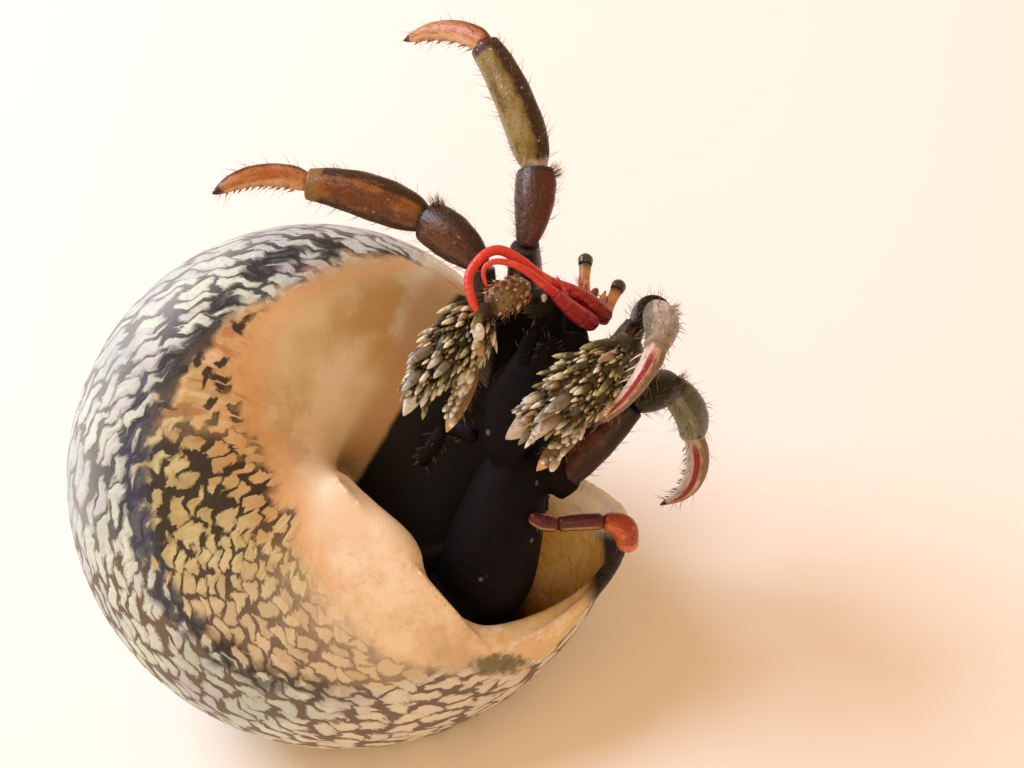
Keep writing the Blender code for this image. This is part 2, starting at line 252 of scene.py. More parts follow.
class Paint:
    # a material, whose colours are given as for tint
    def __init__(self, name):
        self.material = bpy.data.materials.new(name)
        self.material.use_nodes = True
        self.tree = self.material.node_tree
        self.shader = self.tree.nodes["Principled BSDF"]

    def node(self, kind, settings=None, inputs=None, output=0):
        made = self.tree.nodes.new(kind)
        for key, value in (settings or {}).items():
            setattr(made, key, value)
        for key, value in (inputs or {}).items():
            self.feed(made.inputs[key], value)
        return Wire(self, made.outputs[output])

    def feed(self, socket, value):
        if isinstance(value, Wire):
            self.tree.links.new(value.socket, socket)
        else:
            socket.default_value = tint(*value) if isinstance(value, tuple) else value

    def vectorMath(self, operation, inputs):
        return self.node("ShaderNodeVectorMath", {"operation": operation}, inputs)

    def place(self):
        # object coordinates in millimetres
        return self.vectorMath("SCALE", {0: self.node("ShaderNodeTexCoord", output="Object"), "Scale": 1000})

    def attribute(self, name):
        return self.node("ShaderNodeAttribute", {"attribute_name": name}, output="Fac")

    def vector(self, x, y, z=0.0):
        return self.node("ShaderNodeCombineXYZ", None, {0: x, 1: y, 2: z})

    def noise(self, where, scale, detail=3.0, rough=0.55):
        inputs = {"Vector": where, "Scale": scale, "Detail": detail, "Roughness": rough}
        return self.node("ShaderNodeTexNoise", None, inputs)

    def cells(self, feature, where, scale, **settings):
        inputs = {"Vector": where, "Scale": scale}
        return self.node("ShaderNodeTexVoronoi", {"feature": feature, **settings}, inputs)

    def mix(self, share, one, two):
        # the node has sockets for each kind of value: 6, 7 and output 2 are the colours
        return self.node("ShaderNodeMix", {"data_type": "RGBA"}, {0: share, 6: one, 7: two}, output=2)

    def over(self, colour, coats):
        # coats of paint, each with its share, from the lowest up
        for share, coat in coats:
            colour = self.mix(share, colour, coat)
        return colour

    def bump(self, height, depth, strength=1.0):
        # depth in millimetres
        inputs = {"Height": height, "Distance": depth / 1000, "Strength": strength}
        return self.node("ShaderNodeBump", None, inputs)

    def finish(self, **sockets):
        for key, value in sockets.items():
            self.feed(self.shader.inputs[socketNames[key]], value)
        return self.material


def handOver(piece, material, slotName, *nodes):
    # gives a piece its finish, and takes it from the layout to its place on the ground
    piece.data.materials.clear()
    piece.data.materials.append(material)
    piece.data.transform(toWorld)
    piece.data.update()
    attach(piece, "root")
    if nodes:
        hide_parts(*nodes)
    return piece


# The shell

shellShape = {
    "lipRadius": 14.0, "lipDirection": -15.0,
    "spireGrowth": math.log(1.62), "lipGrowth": math.log(1.23),  # in a whole turn
    "spireTurns": 5, "stepsPerTurn": 72, "pointsPerSpan": 4,
    # the whorl's section, as shares of its radius outwards and down from the apex
    "coveredFrom": (0.975, 1.27), "underSuture": (0.66, 0.80),
    "side": [(0.80, 0.90), (0.90, 0.97), (0.97, 1.05), (1.00, 1.15), (0.975, 1.27)],
    "base": [(0.91, 1.38), (0.80, 1.46), (0.66, 1.51), (0.50, 1.52), (0.34, 1.50), (0.18, 1.46), (0.0, 1.43)],
    "buried": [(0.20, 1.05), (0.45, 0.98), (0.80, 1.12)],
    "mouthStartsAt": -33.75, "mouthEndsAt": 45.0, "mouthFacing": (-0.10, 0.70, 0.70), "mouthLevel": -7.3,
    "mouthShrink": 0.998,
    "hollowOuter": [(0.80, 0.97), (0.90, 1.06), (0.93, 1.16), (0.905, 1.27), (0.84, 1.37), (0.72, 1.44),
                    (0.52, 1.455), (0.34, 1.42)],
    "columella": [(0.09, 1.34), (0.07, 1.20)],
    "earlier": [(0.14, 1.45), (0.30, 1.53), (0.52, 1.555), (0.72, 1.535), (0.88, 1.46)],
    "corner": (0.99, 1.36), "lipThin": 0.04, "hollowStartsAt": -200.0,
    "lipBead": [(0.1, 0.1, -3.4), (0.5, -0.8, -2.15), (1.6, -2.15, -1.15), (2.8, -3.55, -0.95),
                (3.25, -4.6, -0.85), (4.1, -5.9, -0.9), (5.25, -7.0, -1.3), (6.6, -7.55, -2.0),
                (8.2, -7.25, -2.7), (10.0, -6.3, -3.25), (11.4, -5.2, -3.9), (12.2, -4.2, -4.6)],
    "beadWidths": (0.20, 0.55, 0.76, 0.90, 0.66, 0.62, 0.66, 0.70, 0.58, 0.38, 0.24, 0.16),
    "rimAngles": (-34, 10), "rimEnd": [(10.2, -0.3, -8.8)],
    "rimWidths": (0.16, 0.22, 0.27, 0.29, 0.30, 0.30, 0.28, 0.26),
    "fold": (0.3, -0.4, -2.0), "foldReach": 3.2,
    "voxel": 0.185, "smoothing": 3,
}


def radiusAt(turn):
    # the whorl's radius, for turns past the lip; it grows more slowly in the last turn
    grow, slow = shellShape["spireGrowth"], shellShape["lipGrowth"]
    last = np.clip(1 + np.asarray(turn, float), 0, None)
    inner = grow * turn - (slow - grow) * (1 - last ** 2) / 2
    return shellShape["lipRadius"] * np.exp(np.where(np.asarray(turn) > 0, slow * turn, inner))


def onWhorl(shares, angle):
    # points of one section of the tube, at an angle past the lip, from the apex
    shares = np.asarray(shares, float)
    radius = radiusAt(angle / 360)
    turn = math.radians(shellShape["lipDirection"] + angle)
    out = shares[:, 0] * radius
    return np.column_stack([out * math.cos(turn), out * math.sin(turn), shares[:, 1] * radius])


def covered(shares, angle):
    # places on the whorl before, as shares of this one's radius
    shrink = radiusAt(angle / 360 - 1) / radiusAt(angle / 360)
    return [tuple(np.asarray(share) * shrink) for share in shares]


def wholeOutline(angle):
    shape = shellShape
    knots = covered([shape["coveredFrom"]], angle) + shape["side"] + shape["base"]
    return rounded(knots, shape["pointsPerSpan"] * (len(knots) - 1) + 1)


def whorlSheets():
    shape = shellShape
    split = shape["pointsPerSpan"] * len(shape["side"])
    last = shape["mouthStartsAt"]
    turns = shape["spireTurns"]
    sides = [onWhorl(wholeOutline(angle)[:split + 1], angle)
             for angle in np.linspace(last - 360 * turns, last, turns * shape["stepsPerTurn"] + 1)]
    base = [onWhorl(wholeOutline(angle)[split:], angle)
            for angle in np.linspace(last - 360, last, shape["stepsPerTurn"] + 1)]
    body = joined("shellBody", [sheetPiece("shellWall", sides), sheetPiece("shellBase", base)])
    tidyFaces(body)
    return body


def mouthTube():
    shape = shellShape
    rings = []
    for angle in np.arange(shape["mouthStartsAt"] - 10, shape["mouthEndsAt"] + 1, 5):
        knots = covered([shape["coveredFrom"]], angle) + shape["side"] + shape["base"][:-1]
        loop = roundedLoop(knots + covered(shape["buried"], angle), 81)
        rings.append(onWhorl(loop * shape["mouthShrink"], angle))
    tube = sheetPiece("shellMouth", rings)
    tidyFaces(tube)
    facing = Vector(shape["mouthFacing"]).normalized()
    upright = shellPlace.inverted()
    cutAt, cutFacing = upright @ (facing * shape["mouthLevel"]), upright.to_3x3() @ facing
    choose(tube)
    bpy.ops.object.mode_set(mode="EDIT")
    bpy.ops.mesh.select_all(action="SELECT")
    bpy.ops.mesh.bisect(plane_co=cutAt, plane_no=cutFacing, use_fill=True, clear_outer=True)
    bpy.ops.object.mode_set(mode="OBJECT")
    tidyFaces(tube)
    return tube


def hollowTube():
    shape = shellShape
    rings = []
    for angle in np.arange(shape["hollowStartsAt"], shape["mouthEndsAt"] + 9, 5):
        thin = shape["lipThin"] * min(max(1 + angle / 90, 0), 1)
        outer = [(out * (1 + thin), down * (1 + 0.5 * thin)) for out, down in shape["hollowOuter"]]
        knots = outer + shape["columella"] + covered(shape["earlier"] + [shape["corner"]], angle)
        rings.append(onWhorl(roundedLoop(knots, 73), angle))
    tube = sheetPiece("shellHollow", rings)
    tidyFaces(tube)
    return tube


def rimPath():
    # where the mouth's plane cuts the outside of the last part of the whorl, and on to the end of the lip
    shape = shellShape
    facing = np.array(Vector(shape["mouthFacing"]).normalized())
    line = rounded(shape["side"] + shape["base"][:-1], 161)
    path = []
    for angle in np.arange(shape["rimAngles"][0], shape["rimAngles"][1] + 1, 4):
        points = moved(onWhorl(line, angle), shellPlace)
        path.append(tuple(points[np.argmin(np.abs(points @ facing - shape["mouthLevel"]))]))
    return path + shape["rimEnd"]


def easeFold(shell):
    # the inner lip's upper end melts into the base
    shape = shellShape
    middle = shellPlace.inverted() @ Vector(shape["fold"])
    group = shell.vertex_groups.new(name="fold")
    away = np.linalg.norm(pointsOf(shell) - np.array(middle), axis=1)
    shares = smoothStep(shape["foldReach"], 0.4 * shape["foldReach"], away)
    for i in np.flatnonzero(shares > 0.01):
        group.add([int(i)], float(shares[i]), "REPLACE")
    applyModifier(shell, "SMOOTH", factor=0.5, iterations=50, vertex_group="fold")
    shell.vertex_groups.clear()


def buildShell():
    hollow = hollowTube()
    parts = [whorlSheets(), mouthTube()]
    for part in parts:
        applyModifier(part, "BOOLEAN", operation="DIFFERENCE", solver="EXACT", object=hollow)
    bpy.data.objects.remove(hollow)
    bead = limbPiece("lipBead", Limb(shellShape["lipBead"], shellShape["beadWidths"], zUp), 150, 24)
    rim = limbPiece("lipRim", Limb(rimPath(), shellShape["rimWidths"], zUp), 150, 20)
    for part in (bead, rim):
        part.data.transform(shellPlace.inverted())
    shell = fused("topshell", parts + [bead, rim], shellShape["voxel"], shellShape["smoothing"])
    easeFold(shell)
    shell.data.transform(toWorld @ shellPlace)
    points = pointsOf(shell)
    points[:, 2] = np.maximum(points[:, 2], 0)  # it rests on the ground, not in it
    placePoints(shell, points)
    shell.data.transform(toWorld.inverted())
    print("shell faces", len(shell.data.polygons))
    return shell


def whereOnShell(points):
    # each point's angle along the spiral, its place from suture to axis, and its height off the outline
    shape = shellShape
    knots = [shape["underSuture"]] + shape["side"] + shape["base"]
    line = rounded(knots, 5 * (len(knots) - 1) + 1)
    spans = np.diff(line, axis=0)
    lengths = np.linalg.norm(spans, axis=1)
    starts = np.concatenate([[0], np.cumsum(lengths)[:-1]])
    here = moved(points, shellPlace.inverted())
    radius = np.hypot(here[:, 0], here[:, 1])
    facing = np.degrees(np.arctan2(here[:, 1], here[:, 0])) - shape["lipDirection"]
    best = np.full(len(here), 1e9)
    angle, across, height = np.zeros(len(here)), np.zeros(len(here)), np.zeros(len(here))
    for whole in range(-6, 2):
        theta = facing + 360 * whole
        size = radiusAt(theta / 360)
        place = np.column_stack([radius / size, here[:, 2] / size])
        allowed = theta < shape["mouthEndsAt"]
        for start, span, length, gone in zip(line[:-1], spans, lengths, starts):
            away = place - start
            share = np.clip(away @ span / length ** 2, 0, 1)
            off = np.linalg.norm(away - share[:, None] * span, axis=1) * size
            closer = allowed & (off < best)
            best[closer] = off[closer]
            angle[closer] = theta[closer]
            across[closer] = gone + share[closer] * length
            height[closer] = np.sign(span[0] * away[closer, 1] - span[1] * away[closer, 0]) * off[closer]
    return angle, across / (starts[-1] + lengths[-1]), height


def setAttribute(piece, name, values):
    made = piece.data.attributes.new(name, "FLOAT", "POINT")
    made.data.foreach_set("value", np.asarray(values, np.float32))


def facesHollow(shell, points):
    # 1 where the shell's wall looks at the middle of the hollow behind the mouth
    normals = np.empty(len(points) * 3)
    shell.data.vertices.foreach_get("normal", normals)
    normals = normals.reshape(-1, 3)
    best, facing = np.full(len(points), 1e9), np.zeros(len(points))
    for angle in range(20, -200, -6):
        toward = moved(onWhorl(tubeMiddle, angle), shellPlace)[0] - points
        away = np.linalg.norm(toward, axis=1)
        closer = away < best
        best[closer] = away[closer]
        facing[closer] = (np.sum(normals * toward, axis=1) / away)[closer]
    return smoothStep(0.0, 0.35, facing) * smoothStep(6.5, 5.5, best)


shellMarks = {
    "callusEdge": [(4.8, 9.7), (2.7, 10.1), (-0.2, 9.7), (-2.4, 8.4), (-3.9, 6.6), (-4.3, 4.1), (-4.0, 1.9),
                   (-2.7, -0.1), (-1.9, -2.4), (-0.9, -5.1), (1.4, -7.3), (4.5, -8.6), (8.2, -8.5)],
    # the edge of the painted shadow that the crab casts on the wall inside the mouth
    "shadowEdge": [(5.9, 9.3), (4.8, 8.0), (4.1, 6.6), (3.4, 4.4), (2.4, 2.75), (1.65, 1.55), (0.9, 0.4),
                 (0.3, -0.6), (0.0, -2.0), (2.0, -5.0), (5.0, -8.5)],
    "callusFar": 6, "shadowFar": 2,
    "cellLength": 1.55, "cellWidth": 0.62, "cellSlant": 32.0, "turnLength": 53.0, "outlineLength": 25.0,
}


def markShell(shell):
    # the places on the shell that its pattern follows
    points = pointsOf(shell)
    angle, across, height = whereOnShell(points)
    marks = shellMarks
    facing = np.array(Vector(shellShape["mouthFacing"]).normalized())
    beyond = points @ facing - shellShape["mouthLevel"]
    slant = math.radians(marks["cellSlant"])
    run = angle / 360 * marks["turnLength"]
    rise = (1 - across) * marks["outlineLength"]
    nearMouth = smoothStep(0.34, 0.44, across) * smoothStep(-412, -396, angle)
    # where the painted shadow inside the mouth may fall, on the earlier whorl beside it
    shown = smoothStep(-262, -285, angle) * nearMouth
    inside = smoothStep(0.1, 0.4, height) * smoothStep(0.25, -0.1, beyond) * smoothStep(-200, -160, angle)
    callus = np.maximum(toTheLeft(points, marks["callusEdge"]), -marks["callusFar"])
    places = {
        "alongCells": (run * math.cos(slant) + rise * math.sin(slant)) / marks["cellLength"],
        "acrossCells": (rise * math.cos(slant) - run * math.sin(slant)) / marks["cellWidth"],
        "across": across,
        "turn": angle / 360,
        "callus": callus * nearMouth - marks["callusFar"] * (1 - nearMouth),
        "dark": toTheLeft(points, marks["shadowEdge"]) * shown - marks["shadowFar"] * (1 - shown),
        "inside": inside,
        "cavity": facesHollow(shell, points),
        "beyond": beyond,
        "layoutX": points[:, 0],
        "layoutY": points[:, 1],
    }
    for name, values in places.items():
        setAttribute(shell, name, values)


flat = {"voronoi_dimensions": "2D"}


def zigzagCells(paint, wander, stretch, squash, wave):
    # places among cells in rows that zigzag and slant along the whorl
    along, rows = paint.attribute("alongCells"), paint.attribute("acrossCells")
    cells = paint.vector(along * stretch, rows * squash + (along * 1.1 + wander).fold(0.5) * wave)
    stir = paint.node("ShaderNodeTexNoise", {"noise_dimensions": "2D"},
                      {"Vector": cells, "Scale": 1.0, "Detail": 3.5, "Roughness": 0.62}, output="Color")
    return paint.vectorMath("ADD", {0: cells, 1: stir})


def zigzagNet(paint, wander, stretch, squash, wave):
    # the way to a cell's edge, a number for each cell, and where the lines swell and break off
    cells = zigzagCells(paint, wander, stretch, squash, wave)
    inputs = {"Vector": cells, "Scale": 1.0, "Randomness": 0.85}
    edge = paint.node("ShaderNodeTexVoronoi", {"feature": "DISTANCE_TO_EDGE", **flat}, inputs)
    corner = paint.node("ShaderNodeTexVoronoi", {"feature": "F1", **flat}, inputs)
    edge = edge - (corner - 0.42) * 0.34
    eachCell = paint.node("ShaderNodeTexVoronoi", {"feature": "F1", **flat}, inputs, output="Color")
    breaks = paint.node("ShaderNodeTexNoise", {"noise_dimensions": "2D"},
                        {"Vector": cells, "Scale": 1.15, "Detail": 1.5})
    return edge, eachCell, breaks


def farFrom(x, y, middle, spread):
    # 0 in the middle of an oval and 1 on its edge, whose half axes are squared
    return (x - middle[0]) * (x - middle[0]) / spread[0] + (y - middle[1]) * (y - middle[1]) / spread[1]


def paleCells(paint, x, y, eachCell, broad, fine):
    # bluish white, on the outside of the whorl
    colour = paint.mix(broad.step(0.38, 0.62), (214, 232, 218), (188, 203, 203))
    return paint.over(colour, [
        (eachCell.step(0.50, 0.75) * 0.45, (190, 188, 204)),
        (eachCell.step(0.40, 0.15) * 0.45, (188, 208, 190)),
        (fine.step(0.50, 0.66) * 0.25, (160, 168, 166)),
        ((y * -1 + x * 0.5).step(9.0, 12.5) * 0.6, (234, 214, 180)),
    ])


def tanCells(paint, y, eachCell, worn, medium):
    # on the base
    colour = paint.mix(medium.step(0.38, 0.60), (208, 206, 156), (186, 174, 118))
    return paint.over(colour, [
        (worn * medium.step(0.58, 0.46) * 0.8, (222, 184, 138)),
        ((y * -0.12 - 0.30).step(0.0, 0.6), (216, 204, 172)),
        (eachCell.step(0.5, 0.8) * 0.35, (164, 150, 112)),
    ])


def callusGlaze(paint, x, y, callusWay, broad, medium, fine):
    # cream and ochre, round the middle of the base
    glaze = paint.mix((broad + medium.sway(0.4)).step(0.3, 0.62), (222, 208, 168), (206, 186, 140))
    ochre = (farFrom(x, y, (2.2, 7.0), (9, 7)) + medium.sway(1.2)).step(1.2, 0.1)
    streak = ((x + 2.6 - y * 0.52).size() + medium.sway(1.4)).step(1.3, 0.3) * y.step(-1.0, 1.6)
    stained = y.step(-1.5, -4.0) * (1 - y.step(-7.6, -8.6))
    rim = (callusWay + medium.sway(2.0)).step(1.5, 0.2) * y.step(-7.0, -3.0)
    return paint.over(glaze, [
        (ochre * 0.8, (188, 148, 82)),
        (streak * y.step(7.0, 5.2) * 0.7, (236, 220, 194)),
        # lighter cream toward the lower callus: partly its colour, partly painted light that lifts the shadow
        # of the inner lip's fold
        (y.step(5.5, -1.0) * 0.9, (234, 210, 174)),
        (x.step(5.0, 7.6) * y.step(-4.0, -6.0) * 0.6, (212, 174, 106)),
        ((medium + fine.sway(0.4)).step(0.48, 0.62) * stained * 0.5, (246, 232, 202)),
        ((fine + medium.sway(0.8)).step(0.44, 0.34) * stained * 0.3, (196, 160, 112)),
        ((broad + fine.sway(0.3)).step(0.54, 0.68) * 0.45, (176, 146, 102)),
        (medium.step(0.50, 0.74) * 0.3, (236, 214, 178)),
        (rim * 0.6, (222, 168, 108)),
    ])


def nacreGlow(paint, x, y, beyond, medium):
    # amber inside the mouth and pale on the lip
    nacre = paint.mix(beyond.step(-4.5, -0.8), (166, 110, 10), (204, 154, 56))
    lipStreaks = paint.noise(paint.vector(x * 3.0, y * 0.8), 1.0, 3.0)
    return paint.over(nacre, [
        ((beyond + medium.sway(0.5)).step(-0.6, 0.0), (226, 200, 142)),
        ((beyond + 0.9).step(0.0, 0.5) * lipStreaks.step(0.42, 0.62) * 0.5, (206, 176, 122)),
    ])


def shellPaint():
    paint = Paint("limyShell")
    place = paint.place()
    across, turn = paint.attribute("across"), paint.attribute("turn")
    callusWay, shadowWay = paint.attribute("callus"), paint.attribute("dark")
    inside, beyond = paint.attribute("inside"), paint.attribute("beyond")
    x, y = paint.attribute("layoutX"), paint.attribute("layoutY")
    broad = paint.noise(place, 0.22, 3.0)
    medium = paint.noise(place, 0.75, 3.0)
    fine = paint.noise(place, 3.2, 4.0, 0.65)

    # where the lines show: full outside, none on the callus, worn to dashes in the upper left of the base
    callus = (callusWay + medium.sway(2.6)).step(-0.9, 0.5)
    outside = (across + medium.sway(0.04)).step(0.585, 0.545)
    outside = outside + (1 - outside) * turn.step(-1.13, -1.16)  # earlier turns show only their outside
    worn = (turn + broad.sway(0.10)).step(-0.47, -0.53) * (1 - outside)
    bandMiddle = turn.step(-0.575, -0.70) * -0.115 + 0.562
    away = (bandMiddle - across).step(0.02, 0.15)

    # the net of dark lines: wide and pale outside, thick dashes on the base, and finer near the lip
    outerNet = zigzagNet(paint, medium, 0.86, 0.82, 0.75)
    baseNet = zigzagNet(paint, medium, 0.96, 0.60, 0.55)
    lowerNet = zigzagNet(paint, medium, 1.30, 0.98, 0.70)
    low = (y * -1 - 2.6 + broad.sway(3)).step(-1.2, 2.0)
    kept = 1 - low
    edge, eachCell, breaks = (
        (one * outside + two * (1 - outside)) * kept + three * low
        for one, two, three in zip(outerNet, baseNet, lowerNet)
    )
    lower = (y * -1 - 4.5 + broad.sway(4)).step(-1.5, 2.5) * (1 - outside)
    blotched = (across - 0.67).size().step(0.12, 0.04) * turn.step(-0.56, -0.50) * turn.step(-0.30, -0.40)
    outerWidth = (breaks - 0.37) * 0.62 - away * 0.025
    baseWidth = (breaks - 0.375) * 0.84 + blotched * 0.04
    width = (outerWidth * outside + baseWidth * (1 - outside)) * kept + (breaks - 0.385) * 0.70 * low
    net = (edge + fine.sway(0.08) - width).step(0.07, -0.06) * (1 - worn)
    spots = paint.cells("F1", zigzagCells(paint, medium, 1.0, 0.66, 0.9), 0.92, **flat) + fine.sway(0.16)
    dash = spots.step(0.31, 0.20) * worn
    strength = 1 - callus

    band = ((across - bandMiddle).size() + medium.sway(0.07)).step(0.044, 0.014)
    band = band * (turn.step(-0.80, -0.77) + turn.step(-1.12, -1.22))
    bandBreaks = (breaks - edge * 0.6).step(0.16, 0.32) * turn.step(-0.16, -0.30)

    # bluish white cells outside, tan ones on the base, and a warm rim round the callus
    pale = paleCells(paint, x, y, eachCell, broad, fine)
    tan = tanCells(paint, y, eachCell, worn, medium)
    halo = (callusWay + medium * 1.5).step(-3.0, 0.3) * (1 - outside)
    warm = y.step(-4.6, -1.0)
    furrows = paint.noise(paint.vector(turn * 58 + across * 9, across * 9), 1.0, 3.0, 0.6)
    ground = paint.over(paint.mix(outside, tan, pale), [
        (halo * (warm * 0.42 + 0.13), (218, 168, 112)),
        (worn * furrows.step(0.50, 0.62) * 0.65, (232, 212, 176)),
        (worn * furrows.step(0.46, 0.36) * 0.65, (168, 106, 60)),
    ])
    strength = strength * (1 - halo * (1 - warm) * 0.5)

    # the lines, the dashes and the band, with a soft brown shade beside them
    shade = (edge - width).step(0.16, 0.0) * (1 - worn) + spots.step(0.45, 0.2) * worn
    # outside, the lines go from dark near the band to grey away from it: partly the pattern fading, partly
    # painted shade in the grooves between the cells
    outerColour = paint.mix(away, (52, 56, 64), (138, 142, 138))
    lineColour = paint.over(paint.mix(outside, (26, 17, 12), outerColour), [
        (lower, (104, 90, 76)),
        (low * outside, (104, 90, 74)),
    ])
    blue = turn.step(-0.54, -0.46) * turn.step(-0.30, -0.38)
    skin = paint.over(ground, [
        (shade * strength * 0.30, (130, 104, 80)),
        (net * strength * 0.95, lineColour),
        (dash * strength * 0.95, (30, 20, 14)),
        (band * bandBreaks * strength * 0.9, paint.mix(blue, (30, 31, 36), (50, 58, 80))),
    ])

    # the glazed callus, and the lip with its nacre, then painted shade deep in the mouth, the painted shadow
    # of the crab on the wall inside it, and a painted brown shade beside that shadow
    glaze = callusGlaze(paint, x, y, callusWay, broad, medium, fine)
    greyRise = (x - y * 0.25 + medium.sway(1.2)).step(0.3, 1.5) * y.step(4.4, 6.8)
    nacre = nacreGlow(paint, x, y, beyond, medium)
    # painted shade: near-black on the wall deep inside the mouth, where it faces the hollow
    deepShade = paint.attribute("cavity") * beyond.step(-1.6, -3.0) * x.step(9.4, 7.8)
    # painted shadow: near-black where the crab and the mouth's depth shade the wall inside the mouth
    dark = (shadowWay + medium.sway(0.25)).step(-0.12, 0.22)
    # painted shade: a brown-ochre strip where the inner lip's surface turns into the shaded mouth
    brinkShade = (shadowWay.size() + medium.sway(0.9)).step(2.1, 0.9) * (shadowWay + 1.95).step(0, 0.2)
    brinkShade = brinkShade * y.step(-0.8, 1.0)
    rimPale = (beyond.size() + medium.sway(0.5)).step(1.2, 0.5) * x.step(9.4, 10.4) * y.step(-3.4, -2.6)
    lipDark = (beyond.size() + fine.sway(0.3)).step(0.95, 0.5) * x.step(10.9, 11.8)
    lipDark = lipDark * y.step(-2.5, -3.3) * y.step(-6.6, -5.6)
    algae = (farFrom(x, y, (7.2, -8.6), (2.2, 0.35)) + fine.sway(2.2)).step(1.2, 0.2)
    skin = paint.over(skin, [
        (callus, glaze),
        (greyRise * turn.step(-0.69, -0.74) * 0.92, (220, 222, 204)),
        (inside, nacre),
        (deepShade, (10, 9, 9)),
        (brinkShade * 0.7, (184, 134, 72)),
        (dark, (10, 10, 10)),
        (rimPale * 0.85, (222, 198, 152)),
        (lipDark, (26, 26, 32)),
        (algae * 0.85, (80, 78, 16)),
        (fine.step(0.55, 0.85) * 0.12, (120, 100, 80)),
    ])

    # growth lines, a grain and low pillows between the dark lines
    growth = paint.noise(paint.vector(turn * 150, across * 5), 1.0, 3.0, 0.5)
    # the painted shade and shadow are also made rougher
    inShade = dark + deepShade * (1 - dark)
    rough = callus * (1 - inside) * -0.1 + 0.54 + inShade * 0.36 + fine.sway(0.2)
    pillow = edge.step(0.0, 0.32) * strength * (1 - worn) * (outside * 0.6 + 0.4)
    growth = growth * (1 - callus * 0.85) * (1 - inside * 0.85) * 0.7
    relief = growth + fine * 0.4 * (1 - callus * 0.7) + pillow * 0.6
    normal = paint.bump(relief, 0.11, 0.7)
    return paint.finish(colour=skin, roughness=rough, normal=normal, coatRoughness=0.25)


# Limbs: tapering pieces round a bent line, which know where their surface is

class Limb:
    rows = 97  # points that its middle line is worked out at

    def __init__(self, path, widths, up, flat=1.0, keel=0.0, belly=0.0, endRound=(0.35, 0.35), waves=0.0):
        line = np.asarray(path, float)
        widths = np.asarray(widths, float)
        self.flat, self.keel, self.belly, self.endRound, self.waves = flat, keel, belly, endRound, waves
        fine = rounded(line, self.rows) if len(line) > 2 else np.linspace(*line, self.rows)
        gone = np.concatenate([[0], np.cumsum(np.linalg.norm(np.diff(fine, axis=0), axis=1))])
        self.length = gone[-1]
        even = np.linspace(0, self.length, self.rows)
        self.fine = np.column_stack([np.interp(even, gone, fine[:, i]) for i in range(3)])
        self.along = np.gradient(self.fine, axis=0)
        self.along /= np.linalg.norm(self.along, axis=1)[:, None]
        up = np.asarray(up, float)
        upright = up - self.along * (self.along @ up)[:, None]
        self.upright = upright / np.linalg.norm(upright, axis=1)[:, None]
        self.aside = np.cross(self.along, self.upright)
        self.radii = rounded(np.column_stack([widths, widths]), self.rows)[:, 0]

    def share(self, values, share):
        return np.interp(share * (self.rows - 1), np.arange(self.rows), values)

    def pick(self, values, share):
        return np.column_stack([self.share(values[:, i], share) for i in range(3)])

    def at(self, share, turn):
        # points of the surface, for arrays of shares of the length and of angles round it from the back
        share, turn = np.atleast_1d(share).astype(float), np.atleast_1d(turn).astype(float)
        radius = self.share(self.radii, share)
        gone = share * self.length
        for away, end in ((gone, self.endRound[0]), (self.length - gone, self.endRound[1])):
            radius = radius * np.sqrt(np.clip(1 - (1 - np.clip(away / end, 0, 1)) ** 2, 0, 1))
        back = np.cos(turn)
        ridge = 1 + self.keel * np.clip(back, 0, 1) ** 6 + self.belly * np.clip(-back, 0, 1) ** 2
        ridge = ridge * (1 + self.waves * np.sin(5 * turn + 9 * share) * np.sin(17 * share + 2 * turn))
        middle = self.pick(self.fine, share)
        rise = (radius * back * ridge)[:, None] * self.pick(self.upright, share)
        reach = (radius * np.sin(turn) * self.flat)[:, None] * self.pick(self.aside, share)
        return middle + rise + reach

    def outward(self, share, turn):
        nudge = 0.02
        along = self.at(np.clip(share + nudge, 0, 1), turn) - self.at(np.clip(share - nudge, 0, 1), turn)
        around = self.at(share, turn + nudge) - self.at(share, turn - nudge)
        across = np.cross(around, along)
        return across / np.maximum(np.linalg.norm(across, axis=1), 1e-9)[:, None]


def limbPiece(name, limb, lengthwise=56, around=36):
    shares = 0.5 - 0.5 * np.cos(np.linspace(0, np.pi, lengthwise + 1))
    shares = 0.55 * shares + 0.45 * np.linspace(0, 1, lengthwise + 1)
    turns = np.linspace(0, 2 * np.pi, around + 1)
    piece = sheetPiece(name, [limb.at(np.full(around + 1, share), turns) for share in shares])
    share, turn = np.repeat(shares, around + 1), np.tile(turns, lengthwise + 1)
    rings = np.stack([share, np.cos(turn), np.sin(turn)], 1).reshape(lengthwise + 1, -1, 3)
    marks = sheetPiece("marks", rings)  # laid out as the piece is, so its points are in the same order
    rows = pointsOf(marks)
    bpy.data.objects.remove(marks)
    for i, mark in enumerate(("length", "back", "flank")):
        setAttribute(piece, mark, rows[:, i])
    tidyFaces(piece, 0.0005)
    piece.data.shade_smooth()
    return piece


def dressed(name, limb, material, slotName, *nodes, grid=(56, 36)):
    return handOver(limbPiece(name, limb, *grid), material, slotName, *nodes)


def straight(root, top, widths, **shape):
    return Limb([root, Vector(root).lerp(Vector(top), 0.5), top], widths, zUp, **shape)


